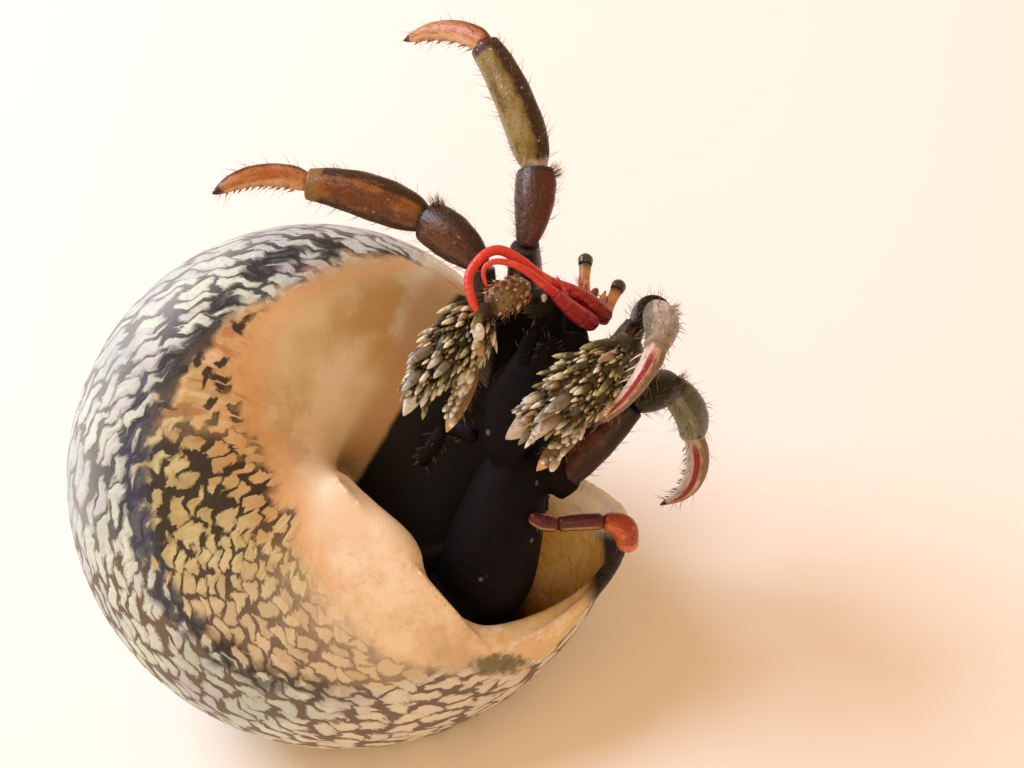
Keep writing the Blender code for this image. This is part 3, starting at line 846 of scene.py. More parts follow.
def spikes(name, roots, ways, lengths, widths, lean, sides=8, blunt=0.0, uvOf=None):
    # many small bent cones in one mesh; blunt ones end in a knob
    roots, ways = np.asarray(roots, float), np.asarray(ways, float)
    ways = ways / np.linalg.norm(ways, axis=1)[:, None]
    lean = np.asarray(lean, float)
    sunk = 0.12  # the share of the length that stands under the surface
    thick = 0.5 * blunt
    profile = [(-sunk, 1.0), (0.25, 0.86 + thick / 2), (0.6, 0.52 + thick), (0.86, 0.22 + thick)]
    side = np.cross(ways, np.where(np.abs(ways[:, 2:3]) < 0.9, [[0, 0, 1.0]], [[0, 1.0, 0]]))
    side /= np.linalg.norm(side, axis=1)[:, None]
    other = np.cross(ways, side)
    turns = np.arange(sides) * 2 * np.pi / sides
    points, faces = [], []
    lengths, widths = np.broadcast_to(lengths, len(roots)), np.broadcast_to(widths, len(roots))
    for level, wide in profile:
        middle = roots + (ways * level + lean * level ** 2) * lengths[:, None]
        for turn in turns:
            aside = side * math.cos(turn) + other * math.sin(turn)
            points.append(middle + aside * (wide * widths)[:, None])
    points.append(roots + (ways + lean) * lengths[:, None])
    points.append(roots - ways * (sunk * lengths)[:, None])
    each = len(points)
    points = np.stack(points, 1).reshape(-1, 3)
    top, bottom, last = each - 2, each - 1, (len(profile) - 1) * sides
    for ring in range(0, last, sides):
        for i in range(sides):
            j = (i + 1) % sides
            faces.append((ring + i, ring + j, ring + sides + j, ring + sides + i))
    for i in range(sides):
        j = (i + 1) % sides
        faces.append((last + i, last + j, top))
        faces.append((j, i, bottom))
    allFaces = [tuple(int(k + each * n) for k in face) for n in range(len(roots)) for face in faces]
    mesh = bpy.data.meshes.new(name)
    mesh.from_pydata(points.tolist(), [], allFaces)
    mesh.update()
    piece = bpy.data.objects.new(name, mesh)
    bpy.context.scene.collection.objects.link(piece)
    heights = np.concatenate([np.full(sides, level) for level, _ in profile] + [[1.0, 0.0]])
    setAttribute(piece, "tip", np.tile(heights, len(roots)))
    setAttribute(piece, "each", np.repeat(np.random.default_rng(7).random(len(roots)), each))
    if uvOf is not None:
        layer = mesh.uv_layers.new(name="OFBake")
        loops = np.empty(len(mesh.loops), int)
        mesh.loops.foreach_get("vertex_index", loops)
        which, part = loops // each, loops % each
        spot = np.column_stack([part % sides / sides, np.minimum(part // sides, 4) / 4]) * 0.003
        layer.data.foreach_set("uv", (np.asarray(uvOf)[which] + spot).astype(np.float32).ravel())
    mesh.shade_smooth()
    return piece


plainHorn = {
    "backFrom": 0.45, "bellyFrom": 0.45, "ringTo": 0.14, "ringFrom": 0.90, "specks": 1.7, "speckShare": 0.5,
    "grime": 0.5, "rough": 0.28, "coat": 0.18, "shine": 0.35,
}


def horn(main, patch, back, belly, ring, speck, **other):
    # the colours of one kind of armour, and what else is special about it
    colours = {"main": main, "patch": patch, "back": back, "belly": belly, "ring": ring, "tip": ring}
    return {**plainHorn, **colours, "speck": speck, **other}


def armourPaint(name, look):
    # a mottled main colour, a darker back, a pale belly, ringed ends, a stripe and a claw tip
    paint = Paint(name)
    place = paint.place()
    length, back, flank = paint.attribute("length"), paint.attribute("back"), paint.attribute("flank")
    broad, medium, fine = paint.noise(place, 0.9), paint.noise(place, 2.4), paint.noise(place, 7.0, 4.0, 0.65)
    streaks = paint.noise(paint.vector(length * 2.5, back * 2.2, flank * 2.2), 1.6, 4.0, 0.6)
    wander = medium.sway(0.5) + streaks.sway(0.7)
    backFrom, bellyFrom, ringFrom = look["backFrom"], look["bellyFrom"], look["ringFrom"]
    coats = [
        ((back + wander).step(backFrom, backFrom + 0.35), look["back"]),
        ((back * -1 + wander).step(bellyFrom, bellyFrom + 0.35), look["belly"]),
    ]
    if "stripe" in look:
        middle, wide, red = look["stripe"]
        stripe = ((back - middle).size() + streaks.sway(0.4)).step(wide, wide * 0.4)
        coats.append((stripe * length.step(0.02, 0.2) * length.step(0.95, 0.75), red))
    speck = (paint.cells("F1", place, look["specks"]) + fine.sway(0.16)).step(0.16, 0.09)
    speck = speck * broad.step(0.42, 0.55)
    coats += [
        ((length + medium.sway(0.14)).step(look["ringTo"], 0.03), look["ring"]),
        ((length + medium.sway(0.10)).step(ringFrom, ringFrom + 0.05), look["tip"]),
        (speck * look["speckShare"], look["speck"]),
        (fine.step(0.54, 0.70) * look["grime"], (40, 28, 20)),
        (fine.step(0.42, 0.30) * 0.25, look["speck"]),
    ]
    mottled = paint.mix((broad + streaks.sway(0.8)).step(0.38, 0.60), look["main"], look["patch"])
    return paint.finish(
        colour=paint.over(mottled, coats), roughness=look["rough"] + fine.sway(0.3),
        normal=paint.bump(fine * 0.6 + medium * 0.6 + streaks * 0.4 + speck * 0.25, 0.10, 0.6),
        coat=look["coat"], coatRoughness=0.12, specular=look["shine"],
    )


def thornPaint(name, root, tipColour):
    paint = Paint(name)
    tip, each = paint.attribute("tip"), paint.attribute("each")
    fine = paint.noise(paint.place(), 6.0, 3.0)
    colour = paint.mix((tip + fine.sway(0.5) + each.sway(0.35)).step(0.05, 0.6), root, tipColour)
    colour = paint.mix(each.step(0.7, 0.95) * 0.5, colour, root)
    return paint.finish(colour=colour, roughness=0.35, normal=paint.bump(fine, 0.03, 0.4))


# The walking legs

legPlans = {
    "leg_right_2": {"joints": [(6.5, 3.6, -0.9), (6.4, 9.5, 0.9), (3.9, 11.5, -0.3), (-1.5, 13.25, -0.9),
                               (-5.6, 12.7, 0.6)], "bows": (-0.2, 1.0, 0.0)},
    "leg_right_3": {"joints": [(8.4, 7.2, -1.6), (8.35, 10.4, 1.3), (8.8, 13.75, 0.6), (6.5, 19.55, -0.8),
                               (2.8, 20.05, -3.2)], "bows": (0.6, 1.0, 0.0)},
    "leg_left_2": {"joints": [(12.1, 4.6, -2.1), (13.5, 7.0, -2.1), (14.15, 7.6, 0.9), (14.0, 5.8, 5.5),
                              (11.3, 2.4, 4.9)], "bows": (1.0, -0.1, 0.6)},
    "leg_left_3": {"joints": [(9.9, -0.4, -1.9), (13.2, 3.3, -0.9), (14.9, 4.2, -2.2), (16.25, 1.8, -5.7),
                              (14.9, -1.6, -8.2)], "bows": (1.0, 0.15, 0.6)},
}
legPieces = {
    "merus": {"widths": (0.50, 0.72, 0.84, 0.86, 0.80, 0.70), "bow": 0.0, "gaps": (0.0, 0.0), "hairs": 40},
    "carpus": {"widths": (0.36, 0.66, 0.86, 0.98, 1.02, 0.98, 0.86), "bow": 0.05, "gaps": (-0.22, -0.06),
               "hairs": 80},
    "propodus": {"widths": (0.40, 0.78, 0.94, 0.98, 0.96, 0.88, 0.78, 0.66), "bow": 0.05,
                 "gaps": (-0.26, -0.06), "hairs": 110},
    "dactyl": {"widths": (0.34, 0.50, 0.51, 0.49, 0.46, 0.40, 0.29, 0.10), "bow": 0.13,
               "gaps": (-0.24, -0.05), "hairs": 70, "slot": "claw_tip", "end": 0.5},
}
legSection = {"flat": 0.84, "keel": 0.10, "belly": 0.04, "waves": 0.02}
legWidths = {
    "leg_right_3_carpus": (0.34, 0.56, 0.72, 0.84, 0.90, 0.90, 0.80),
    "leg_right_3_propodus": (0.38, 0.74, 0.86, 0.86, 0.84, 0.80, 0.74, 0.64),
    "leg_left_2_merus": (0.46, 0.64, 0.70, 0.68, 0.60, 0.50),
    "leg_left_2_carpus": (0.34, 0.54, 0.68, 0.78, 0.82, 0.80, 0.70),
    "leg_left_2_propodus": (0.36, 0.62, 0.72, 0.74, 0.72, 0.66, 0.60, 0.52),
    "leg_left_3_propodus": (0.38, 0.70, 0.82, 0.84, 0.80, 0.74, 0.66, 0.56),
    "leg_left_2_dactyl": (0.40, 0.48, 0.44, 0.40, 0.35, 0.28, 0.19, 0.06),
    "leg_left_3_dactyl": (0.38, 0.52, 0.54, 0.50, 0.44, 0.34, 0.20, 0.06),
}
legBows = {"leg_left_3_dactyl": 0.20, "leg_left_3_propodus": 0.09, "leg_left_2_dactyl": 0.09}
spineLooks = {
    "leg_left_2": {"long": 0.55, "paint": ("paleSpines", (196, 176, 140), (236, 226, 204))},
    "others": {"long": 0.26, "paint": ("hornySpines", (170, 116, 80), (60, 40, 26))},
}
legLooks = {  # main, patch, back, belly, ring and speck colours, and what else is special
    "merus": horn((46, 30, 26), (62, 36, 30), (34, 24, 22), (40, 28, 26), (38, 26, 24), (120, 104, 80),
        speckShare=0.25),
    "leg_right_2_carpus": horn((58, 34, 22), (94, 58, 34), (50, 28, 22), (32, 24, 22), (30, 22, 20),
        (190, 160, 120), speckShare=0.3),
    "leg_right_2_propodus": horn((142, 90, 30), (100, 56, 24), (52, 28, 18), (52, 30, 22), (46, 26, 20),
        (190, 160, 96), backFrom=0.42, bellyFrom=0.5, tip=(134, 104, 58), ringFrom=0.86),
    "leg_right_3_carpus": horn((60, 38, 24), (78, 44, 28), (86, 32, 26), (44, 32, 24), (36, 26, 22),
        (180, 140, 104), speckShare=0.3),
    "leg_right_3_propodus": horn((114, 94, 44), (142, 124, 68), (50, 29, 20), (148, 134, 88),
        (206, 186, 164), (206, 190, 150), backFrom=0.22, bellyFrom=0.6, ringTo=0.12, tip=(66, 40, 28)),
    "leg_left_carpus": horn((22, 20, 16), (48, 44, 26), (34, 28, 20), (22, 20, 17), (24, 22, 18),
        (150, 148, 104), speckShare=0.25, shine=0.2, coat=0.1),
    "leg_left_merus": horn((66, 38, 30), (96, 60, 42), (44, 27, 23), (40, 26, 22), (26, 20, 18),
        (120, 104, 80), speckShare=0.2, shine=0.25, coat=0.1),
    "leg_left_2_propodus": horn((178, 168, 152), (146, 132, 112), (124, 106, 86), (84, 76, 50),
        (70, 64, 42), (220, 210, 190), bellyFrom=0.2, grime=0.3, tip=(150, 130, 112)),
    "leg_left_3_propodus": horn((112, 118, 84), (146, 152, 126), (72, 64, 44), (92, 92, 62), (54, 52, 36),
        (204, 202, 178), backFrom=0.35, grime=0.35, tip=(196, 184, 168), ringFrom=0.88),
    "right_dactyl": horn((182, 112, 62), (196, 142, 92), (104, 38, 24), (220, 174, 128), (116, 52, 32),
        (232, 206, 176), backFrom=0.58, bellyFrom=0.3, ringTo=0.09, tip=(44, 30, 22), ringFrom=0.88),
    "left_dactyl": horn((222, 204, 190), (208, 172, 154), (132, 104, 74), (232, 222, 208), (140, 124, 96),
        (238, 226, 210), backFrom=0.5, grime=0.25, ringTo=0.08, tip=(44, 30, 22), ringFrom=0.88,
        stripe=(0.26, 0.4, (150, 34, 32))),
}


def bowed(start, end, bend, bendTo, gaps):
    begin, finish = Vector(start), Vector(end)
    along = (finish - begin).normalized()
    begin, finish = begin + along * gaps[0], finish - along * gaps[1]
    aside = Vector(bendTo) - along * along.dot(Vector(bendTo))
    lift = aside.normalized() * bend * (finish - begin).length * 4
    return [begin.lerp(finish, t) + lift * t * (1 - t) for t in (0, 0.25, 0.5, 0.75, 1)]


paints = {}


def paintFor(key, maker, *details):
    # each paint is made once and shared
    if key not in paints:
        paints[key] = maker(key, *details)
    return paints[key]


def lookOf(leg, part):
    side = "right" if "right" in leg else "left"
    for key in (f"{leg}_{part}", f"leg_{side}_{part}", f"{side}_{part}", part):
        if key in legLooks:
            return key
    return "merus"


hairWidth = 0.011
hairs = {"roots": [], "ways": [], "lengths": [], "leans": [], "uv": []}  # all end up in one mesh


def growHairs(limb, count, lengths, seed, turns=(0, 2 * math.pi), shares=(0.1, 0.95), sweep=0.9):
    dice = np.random.default_rng(seed)
    share = dice.uniform(*shares, count)
    turn = dice.uniform(*turns, count)
    root = limb.at(share, turn)
    way = limb.outward(share, turn)
    along = limb.pick(limb.along, share)
    mess = dice.normal(0, 0.18, (count, 3))
    tile = len(hairs["uv"])
    corner = np.array([tile % 8, tile // 8]) / 8
    hairs["roots"].append(root)
    hairs["ways"].append(way + along * sweep * 0.7 + mess)
    hairs["leans"].append(along * sweep * 0.35 + mess * 0.5)
    hairs["lengths"].append(dice.uniform(*lengths, count))
    hairs["uv"].append(corner + np.column_stack([share, turn / (2 * math.pi) % 1]) * 0.12)


def buildLegs():
    for number, (leg, plan) in enumerate(legPlans.items()):
        joints = plan["joints"]
        for i, (part, shape) in enumerate(legPieces.items()):
            name = f"{leg}_{part}"
            bow = legBows.get(name, shape["bow"])
            path = bowed(joints[i], joints[i + 1], bow, plan["bows"], shape["gaps"])
            ends = (0.2, shape.get("end", 0.09))
            limb = Limb(path, legWidths.get(name, shape["widths"]), plan["bows"], endRound=ends, **legSection)
            key = lookOf(leg, part)
            horny = paintFor(key, armourPaint, legLooks[key])
            dressed(f"{name}_armour", limb, horny, shape.get("slot", "leg_armour"), name)
            seed = 10 * len(leg) + i + 7 * number
            growHairs(limb, shape["hairs"], (0.25, 0.75), seed)
            if part == "carpus":  # a fringe at its far end
                growHairs(limb, 60, (0.35, 0.6), seed + 3, turns=(-0.5, 0.5), shares=(0.86, 0.97), sweep=0.4)
            if part == "dactyl":
                spineRow(f"{leg}_spines", limb, **spineLooks.get(leg, spineLooks["others"]))


def spineRow(name, limb, long, paint):
    # the row of horny spines under a leg's claw
    share = np.linspace(0.16, 0.86, 11)
    turn = np.full(11, math.pi) + np.resize([-0.25, 0.2], 11)
    along = limb.pick(limb.along, share)
    ways = limb.outward(share, turn) + 0.8 * along
    row = spikes(name, limb.at(share, turn), ways, np.linspace(long, long * 0.6, 11), 0.05, 0.5 * along)
    handOver(row, paintFor(paint[0], thornPaint, *paint[1:]), "claw_tip")


# The claw arms

clawPlans = {
    "claw_left": {
        "merus": [(10.4, 5.9, 1.9), (12.1, 4.5, 0.8)], "carpus": [(12.35, 4.9, 1.5), (13.0, 6.0, 2.9)],
        "hand": [(12.75, 5.5, 3.4), (12.2, 5.0, 3.8), (11.3, 4.3, 4.3), (10.2, 3.6, 4.7), (9.0, 2.9, 5.0),
                 (7.5, 1.8, 5.0)],
        "finger": [(10.75, 2.5, 3.8), (10.4, 2.0, 3.8), (9.6, 1.2, 4.0), (8.85, 0.4, 4.0)],
    },
    "claw_right": {
        "merus": [(9.5, 7.3, 1.6), (8.7, 8.2, 1.9)], "carpus": [(8.5, 8.6, 2.4), (6.75, 7.6, 3.5)],
        "hand": [(6.75, 7.5, 3.6), (6.3, 7.0, 3.9), (5.7, 6.2, 4.4), (4.85, 5.3, 4.8), (3.95, 4.3, 5.0),
                 (3.1, 2.8, 5.1)],
        "finger": [(6.15, 5.2, 4.3), (5.95, 4.4, 4.5), (5.5, 3.35, 4.8), (4.95, 2.1, 4.8)],
    },
}
clawWidths = {
    "merus": (0.50, 0.76, 0.80, 0.64), "carpus": (0.50, 0.80, 0.86, 0.66),
    "hand": (0.45, 0.86, 1.06, 0.96, 0.62, 0.46, 0.10), "finger": (0.24, 0.40, 0.42, 0.34, 0.08),
}
clawGirths = {"claw_left_hand": 1.08, "claw_right_hand": 0.86, "claw_right_carpus": 0.82}
clawHairs = {  # how many, and over which share of the length
    "merus": (70, (0.1, 0.95)), "carpus": (120, (0.1, 0.95)),
    "hand": (170, (0.1, 0.7)), "finger": (70, (0.1, 0.7)),
}
knobBeds = {  # later is added to the limb's seed
    "carpus": {
        "studs": {"count": 40, "space": 0.26, "size": (0.30, 0.11), "shares": (0.1, 0.95), "blunt": 0.4},
    },
    "hand": {
        "knobs": {"count": 90, "space": 0.25, "size": (0.62, 0.165), "shares": (0.04, 0.80), "blunt": 0.45,
                  "rise": 1.25},
        "grains": {"count": 260, "space": 0.13, "size": (0.26, 0.085), "later": 5, "shares": (0.03, 0.84),
                   "turns": (-2.2, 2.2)},
        "scales": {"count": 17, "space": 0.30, "size": (0.78, 0.27), "later": 7, "shares": (0.50, 0.84),
                   "turns": (-1.5, 1.7), "blunt": 0.35, "rise": 1.7},
        "thorns": {"count": 26, "space": 0.3, "size": (0.62, 0.13), "later": 6, "shares": (0.1, 0.8),
                   "turns": (-1.9, -1.2), "blunt": 0.15},
    },
    "finger": {"knobs": {"space": 0.19, "size": (0.32, 0.17), "shares": (0.0, 0.80)}},
}
fingerKnobs = {
    "claw_left": {"count": 15, "turns": (-0.9, 0.6)},
    "claw_right": {"count": 30, "turns": (-0.2, 1.2)},
}
palmKnobs = [
    ((6.35, 6.4, 5.5), (0.27, 0.42, 0.28), "finger"),
    ((6.4, 5.65, 5.3), (0.22, 0.30, 0.24), "studs"),
]
clawLooks = {  # in the same order
    # the claws' merus are near-black as painted shade, where they lie in the dark under the head
    "merus": horn((26, 22, 18), (44, 34, 24), (30, 26, 18), (22, 18, 16), (22, 18, 16), (120, 110, 80),
        speckShare=0.3, rough=0.5, shine=0.2, coat=0.0),
    "claw_right_carpus": horn((160, 112, 76), (188, 116, 74), (140, 128, 92), (70, 40, 28), (120, 84, 56),
        (214, 200, 166), backFrom=0.3, grime=0.55, rough=0.45),
    "claw_left_carpus": horn((62, 54, 34), (92, 84, 50), (74, 68, 42), (34, 26, 22), (48, 40, 28),
        (190, 186, 146), rough=0.45),
    "claw_left_hand": horn((84, 74, 46), (122, 118, 74), (84, 72, 48), (60, 44, 34), (64, 50, 36),
        (186, 190, 150), backFrom=0.3, tip=(196, 186, 164), ringTo=0.1, ringFrom=0.76, speckShare=0.8,
        specks=2.6, grime=0.5, rough=0.5),
    "hand": horn((50, 42, 28), (92, 88, 52), (56, 44, 30), (46, 30, 26), (54, 40, 30), (170, 176, 140),
        backFrom=0.3, tip=(206, 208, 202), ringTo=0.1, ringFrom=0.76, speckShare=0.8, specks=2.6, grime=0.6,
        rough=0.5),
    "finger": horn((120, 80, 46), (140, 104, 60), (120, 96, 62), (140, 66, 34), (84, 54, 34),
        (204, 206, 184), bellyFrom=0.05, tip=(206, 172, 104), ringFrom=0.8, speckShare=0.8, rough=0.45),
}
knobLooks = {  # the paint's name, the colours at the root and of two kinds of top
    "finger": ("whiteKnobs", (164, 156, 134), (244, 246, 238), (226, 232, 224)),
    "knobs": ("oliveKnobs", (44, 36, 20), (168, 166, 92), (238, 238, 206)),
    "grains": ("dirtyGrains", (34, 27, 17), (96, 86, 48), (150, 142, 98)),
    "scales": ("blueWhiteScales", (112, 104, 84), (196, 204, 196), (222, 222, 206)),
    "left_knobs": ("creamKnobs", (64, 56, 32), (186, 182, 112), (244, 242, 214)),
    "left_grains": ("oliveGrains", (56, 48, 30), (128, 120, 72), (180, 174, 126)),
    "thorns": ("paleThorns", (60, 48, 30), (176, 170, 132), (216, 212, 190)),
    "studs": ("tanStuds", (140, 92, 60), (204, 160, 116), (224, 206, 172)),
}


def knobPaint(name, root, top, other):
    # knobs that start in the claw's own brown and end cream, olive or bluish white, with dirt between them
    paint = Paint(name)
    tip, each = paint.attribute("tip"), paint.attribute("each")
    place = paint.place()
    fine, broad = paint.noise(place, 6.0, 4.0, 0.6), paint.noise(place, 1.1, 2.0)
    crown = paint.mix((broad + each.sway(0.7)).step(0.36, 0.62), top, other)
    colour = paint.mix((tip + fine.sway(0.9) + each.sway(0.6)).step(0.35, 0.95), root, crown)
    colour = paint.mix((each + fine.sway(0.6)).step(0.80, 0.95) * 0.8, colour, (132, 84, 44))
    return paint.finish(colour=colour, roughness=0.42 + fine.sway(0.3), normal=paint.bump(fine, 0.06, 0.6))


def scattered(limb, count, space, seed, shares, turns):
    # places on a limb that keep a distance from each other
    dice = np.random.default_rng(seed)
    share, turn = dice.uniform(*shares, count * 12), dice.uniform(*turns, count * 12)
    spots = limb.at(share, turn)
    kept = []
    for i, spot in enumerate(spots):
        if len(kept) < count and (not kept or np.min(np.linalg.norm(spots[kept] - spot, axis=1)) > space):
            kept.append(i)
    return share[kept], turn[kept]


def knobs(name, look, limb, seed, count, space, size, shares, turns=(-1.9, 1.9), later=0, blunt=0.7,
          rise=0.8):
    # size is their length and half width, and rise is how far they lean along the limb
    share, turn = scattered(limb, count, space, seed + later, shares, turns)
    dice = np.random.default_rng(seed + later + 1)
    along = limb.pick(limb.along, share)
    ways = limb.outward(share, turn) + rise * along + dice.normal(0, 0.16, (len(share), 3))
    big = dice.lognormal(0.0, 0.28, len(share)) * (1 - 0.45 * share)
    roots = limb.at(share, turn)
    bed = spikes(name, roots, ways, size[0] * big, size[1] * big ** 0.8, along * 0.45, blunt=blunt)
    handOver(bed, paintFor(look[0], knobPaint, *look[1:]), "claw_armour")


def loneKnob(name, middle, half, look, tip):
    knob = egg(name, middle, half)
    setAttribute(knob, "tip", np.full(len(knob.data.vertices), tip))
    setAttribute(knob, "each", np.full(len(knob.data.vertices), 0.3))
    handOver(knob, paintFor(look[0], knobPaint, *look[1:]), "claw_armour")


def buildClaws():
    for number, (arm, plan) in enumerate(clawPlans.items()):
        side = arm.split("_")[1]
        for i, (part, widths) in enumerate(clawWidths.items()):
            name = f"{arm}_{part}"
            widths = np.array(widths) * clawGirths.get(name, 1.0)
            flatness = 1.1 if part == "hand" else 1.0
            limb = Limb(plan[part], widths, zUp, flat=flatness, waves=0.06, endRound=(0.35, 0.4))
            look = name if name in clawLooks else part
            horny = paintFor(f"claw_{look}", armourPaint, clawLooks[look])
            dressed(f"{name}_armour", limb, horny, "claw_armour", name)
            seed = 100 + 10 * number + i
            count, shares = clawHairs[part]
            growHairs(limb, count, (0.2, 0.45), seed, shares=shares)
            for kind, bed in knobBeds.get(part, {}).items():
                look = knobLooks.get(f"{side}_{kind}", knobLooks[kind])
                if part == "finger":
                    bed, look = {**bed, **fingerKnobs[arm]}, knobLooks["finger"]
                knobs(f"{name}_{kind}", look, limb, seed, **bed)
    for i, (place, half, look) in enumerate(palmKnobs):
        loneKnob(f"palm_knob_{i + 1}", place, half, knobLooks[look], 0.8)


# The head

headPlan = {
    "eyes": {"right": ((11.0, 7.9, -0.1), (11.12, 9.6, -1.2)),
             "left": ((11.9, 7.2, -0.4), (12.55, 8.45, -1.4))},
    "peduncles": {"right": [(11.45, 6.8, 1.9), (10.5, 7.4, 2.8), (9.65, 8.15, 3.4)],
                  "left": [(12.1, 7.1, 1.0), (11.1, 7.9, 1.7), (10.2, 8.45, 2.3)]},
    "flagella": {"right": [(9.75, 8.1, 3.3), (9.2, 8.5, 3.7), (8.5, 9.05, 4.1), (7.8, 9.4, 4.35),
                           (7.1, 9.5, 4.5), (6.65, 9.3, 4.55), (6.55, 8.9, 4.6), (6.7, 8.4, 4.7)],
                 "left": [(10.3, 8.4, 2.2), (9.5, 8.65, 2.9), (8.75, 9.1, 3.4), (8.15, 9.58, 3.7),
                          (7.33, 10.0, 4.0), (6.7, 9.87, 4.2), (6.14, 9.3, 4.4), (5.9, 8.7, 4.5),
                          (6.05, 7.85, 4.7), (6.3, 7.3, 4.8), (6.65, 6.95, 4.8)]},
    "antennules": {"right": ((10.9, 8.0, 0.9), (11.2, 9.0, 0.8)),
                   "left": ((11.7, 7.6, 0.7), (12.0, 8.4, 0.4))},
    "eyeWidths": (0.36, 0.30, 0.25, 0.29), "corneaWidths": (0.30, 0.355, 0.30),
    "peduncleWidths": (0.44, 0.50, 0.47, 0.40, 0.30), "antennuleWidths": (0.16, 0.15, 0.05),
    "flagellumWidths": {"right": (0.23, 0.20, 0.18, 0.15, 0.12, 0.07),
                        "left": (0.27, 0.25, 0.24, 0.23, 0.22, 0.20, 0.12)},
    "scales": [((10.2, 8.0, 2.9), (9.75, 9.0, 2.7), 0.17), ((10.9, 8.2, 1.9), (10.75, 8.95, 1.6), 0.15),
               ((11.3, 7.9, 1.2), (11.05, 8.7, 0.9), 0.16), ((11.8, 7.5, 0.8), (11.75, 8.2, 0.4), 0.15),
               ((10.7, 7.4, 2.4), (10.1, 7.95, 3.1), 0.13), ((11.5, 7.0, 1.9), (10.9, 7.35, 2.5), 0.12)],
    "eyeScales": [((11.25, 7.9, -0.2), (11.6, 8.45, 0.5), 0.26),
                  ((11.75, 7.6, -0.2), (12.05, 8.1, 0.4), 0.22)],
    "paleKnob": ((9.2, 7.98, 2.6), 0.14),
}


def redPaint(name):
    paint = Paint(name)
    place = paint.place()
    length, root = paint.attribute("length"), paint.attribute("rooted")
    medium, fine = paint.noise(place, 2.0), paint.noise(place, 9.0)
    knuckle = ((length - 0.36).size().step(0.035, 0.0) + (length - 0.68).size().step(0.035, 0.0)) * root
    coral = paint.mix((length + medium.sway(0.5)).step(0.0, 0.5), (196, 32, 30), (216, 62, 50))
    colour = paint.over(coral, [
        (root * (1.0 - (length + medium.sway(0.5)).step(0.95, 1.1) * 0.5), (156, 12, 24)),
        # painted shade: the antenna base darkens to brown toward its root
        (root * (length + medium.sway(0.4)).step(0.50, 0.0) * 0.75, (104, 26, 20)),
        (knuckle * 0.7, (96, 8, 14)),
        (medium.step(0.54, 0.70) * 0.4, (244, 122, 88)),
        (fine.step(0.55, 0.75) * 0.3, (150, 16, 20)),
    ])
    rings = (length * 190).sine()
    return paint.finish(colour=colour, roughness=0.34 + fine.sway(0.2),
                        normal=paint.bump(rings * 0.25 + fine * 0.5 - knuckle * 1.5, 0.04, 0.5))


def eyestalkPaint(name):
    paint = Paint(name)
    place = paint.place()
    length = paint.attribute("length")
    medium, fine = paint.noise(place, 2.6, 3.0), paint.noise(place, 9.0, 3.0)
    colour = paint.mix(medium.step(0.35, 0.65), (196, 132, 72), (212, 156, 96))
    colour = paint.over(colour, [
        ((length + medium.sway(0.1)).step(0.80, 0.93), (96, 84, 44)),
        (length.step(0.25, 0.0), (150, 70, 40)),
    ])
    return paint.finish(colour=colour, roughness=0.32 + fine.sway(0.2), normal=paint.bump(fine, 0.03, 0.4))


def corneaPaint(name):
    paint = Paint(name)
    place = paint.place()
    facets, broad = paint.cells("DISTANCE_TO_EDGE", place, 16.0), paint.noise(place, 2.0, 2.0)
    colour = paint.mix(broad.step(0.4, 0.65), (30, 30, 22), (66, 66, 34))
    colour = paint.mix(facets.step(0.05, 0.0) * 0.4, colour, (12, 12, 10))
    return paint.finish(colour=colour, roughness=0.12, coat=0.6, coatRoughness=0.06,
                        normal=paint.bump(facets.step(0.0, 0.1), 0.01, 0.5))


def buildHead():
    plan = headPlan
    tan, red = paintFor("eyestalks", eyestalkPaint), paintFor("coralRed", redPaint)
    black = paintFor("corneas", corneaPaint)
    for side, (root, top) in plan["eyes"].items():
        start, end = Vector(root), Vector(top)
        way = (end - start).normalized()
        stalkPath = [start - way * 0.3, root, start.lerp(end, 0.5), top]
        stalk = Limb(stalkPath, plan["eyeWidths"], zUp, endRound=(0.2, 0.12))
        dressed(f"eyestalk_{side}_skin", stalk, tan, "eyestalk_tan", f"eyestalk_{side}")
        domePath = [end - way * 0.06, end + way * 0.2, end + way * 0.62]
        dome = Limb(domePath, plan["corneaWidths"], zUp, endRound=(0.1, 0.36))
        dressed(f"cornea_{side}_dome", dome, black, "cornea_black", f"cornea_{side}", grid=(40, 32))
        stemShape = {"flat": 0.85, "waves": 0.06, "endRound": (0.25, 0.12)}
        stem = Limb(plan["peduncles"][side], plan["peduncleWidths"], zUp, **stemShape)
        base = dressed(f"antenna_base_{side}_skin", stem, red, "antenna_red", f"antenna_base_{side}")
        setAttribute(base, "rooted", np.ones(len(base.data.vertices)))
        whip = Limb(plan["flagella"][side], plan["flagellumWidths"][side], zUp, endRound=(0.1, 0.3))
        dressed(f"antenna_{side}_skin", whip, red, "antenna_red", f"antenna_{side}", grid=(120, 20))
        small = straight(*plan["antennules"][side], plan["antennuleWidths"], endRound=(0.1, 0.3))
        dressed(f"antennule_{side}_skin", small, tan, "antenna_red", f"antennule_{side}")
    for i, (root, top, wide) in enumerate(plan["scales"]):
        thorn = straight(root, top, (wide, wide * 0.9, wide * 0.55, 0.03), flat=0.7, endRound=(0.1, 0.2))
        dressed(f"antennal_scale_{i + 1}", thorn, red, "antenna_red", grid=(30, 20))
        growHairs(thorn, 22, (0.15, 0.35), 500 + i)
    dull = paintFor("eyeScale", armourPaint, clawLooks["claw_right_carpus"])
    for i, (root, top, wide) in enumerate(plan["eyeScales"]):
        lobe = straight(root, top, (wide, wide, wide * 0.7), flat=0.8, endRound=(0.1, 0.25))
        dressed(f"eye_scale_{i + 1}", lobe, dull, "antenna_red", grid=(30, 20))
    place, wide = plan["paleKnob"]
    loneKnob("pale_knob", place, (wide, wide * 1.3, wide), knobLooks["finger"], 0.75)
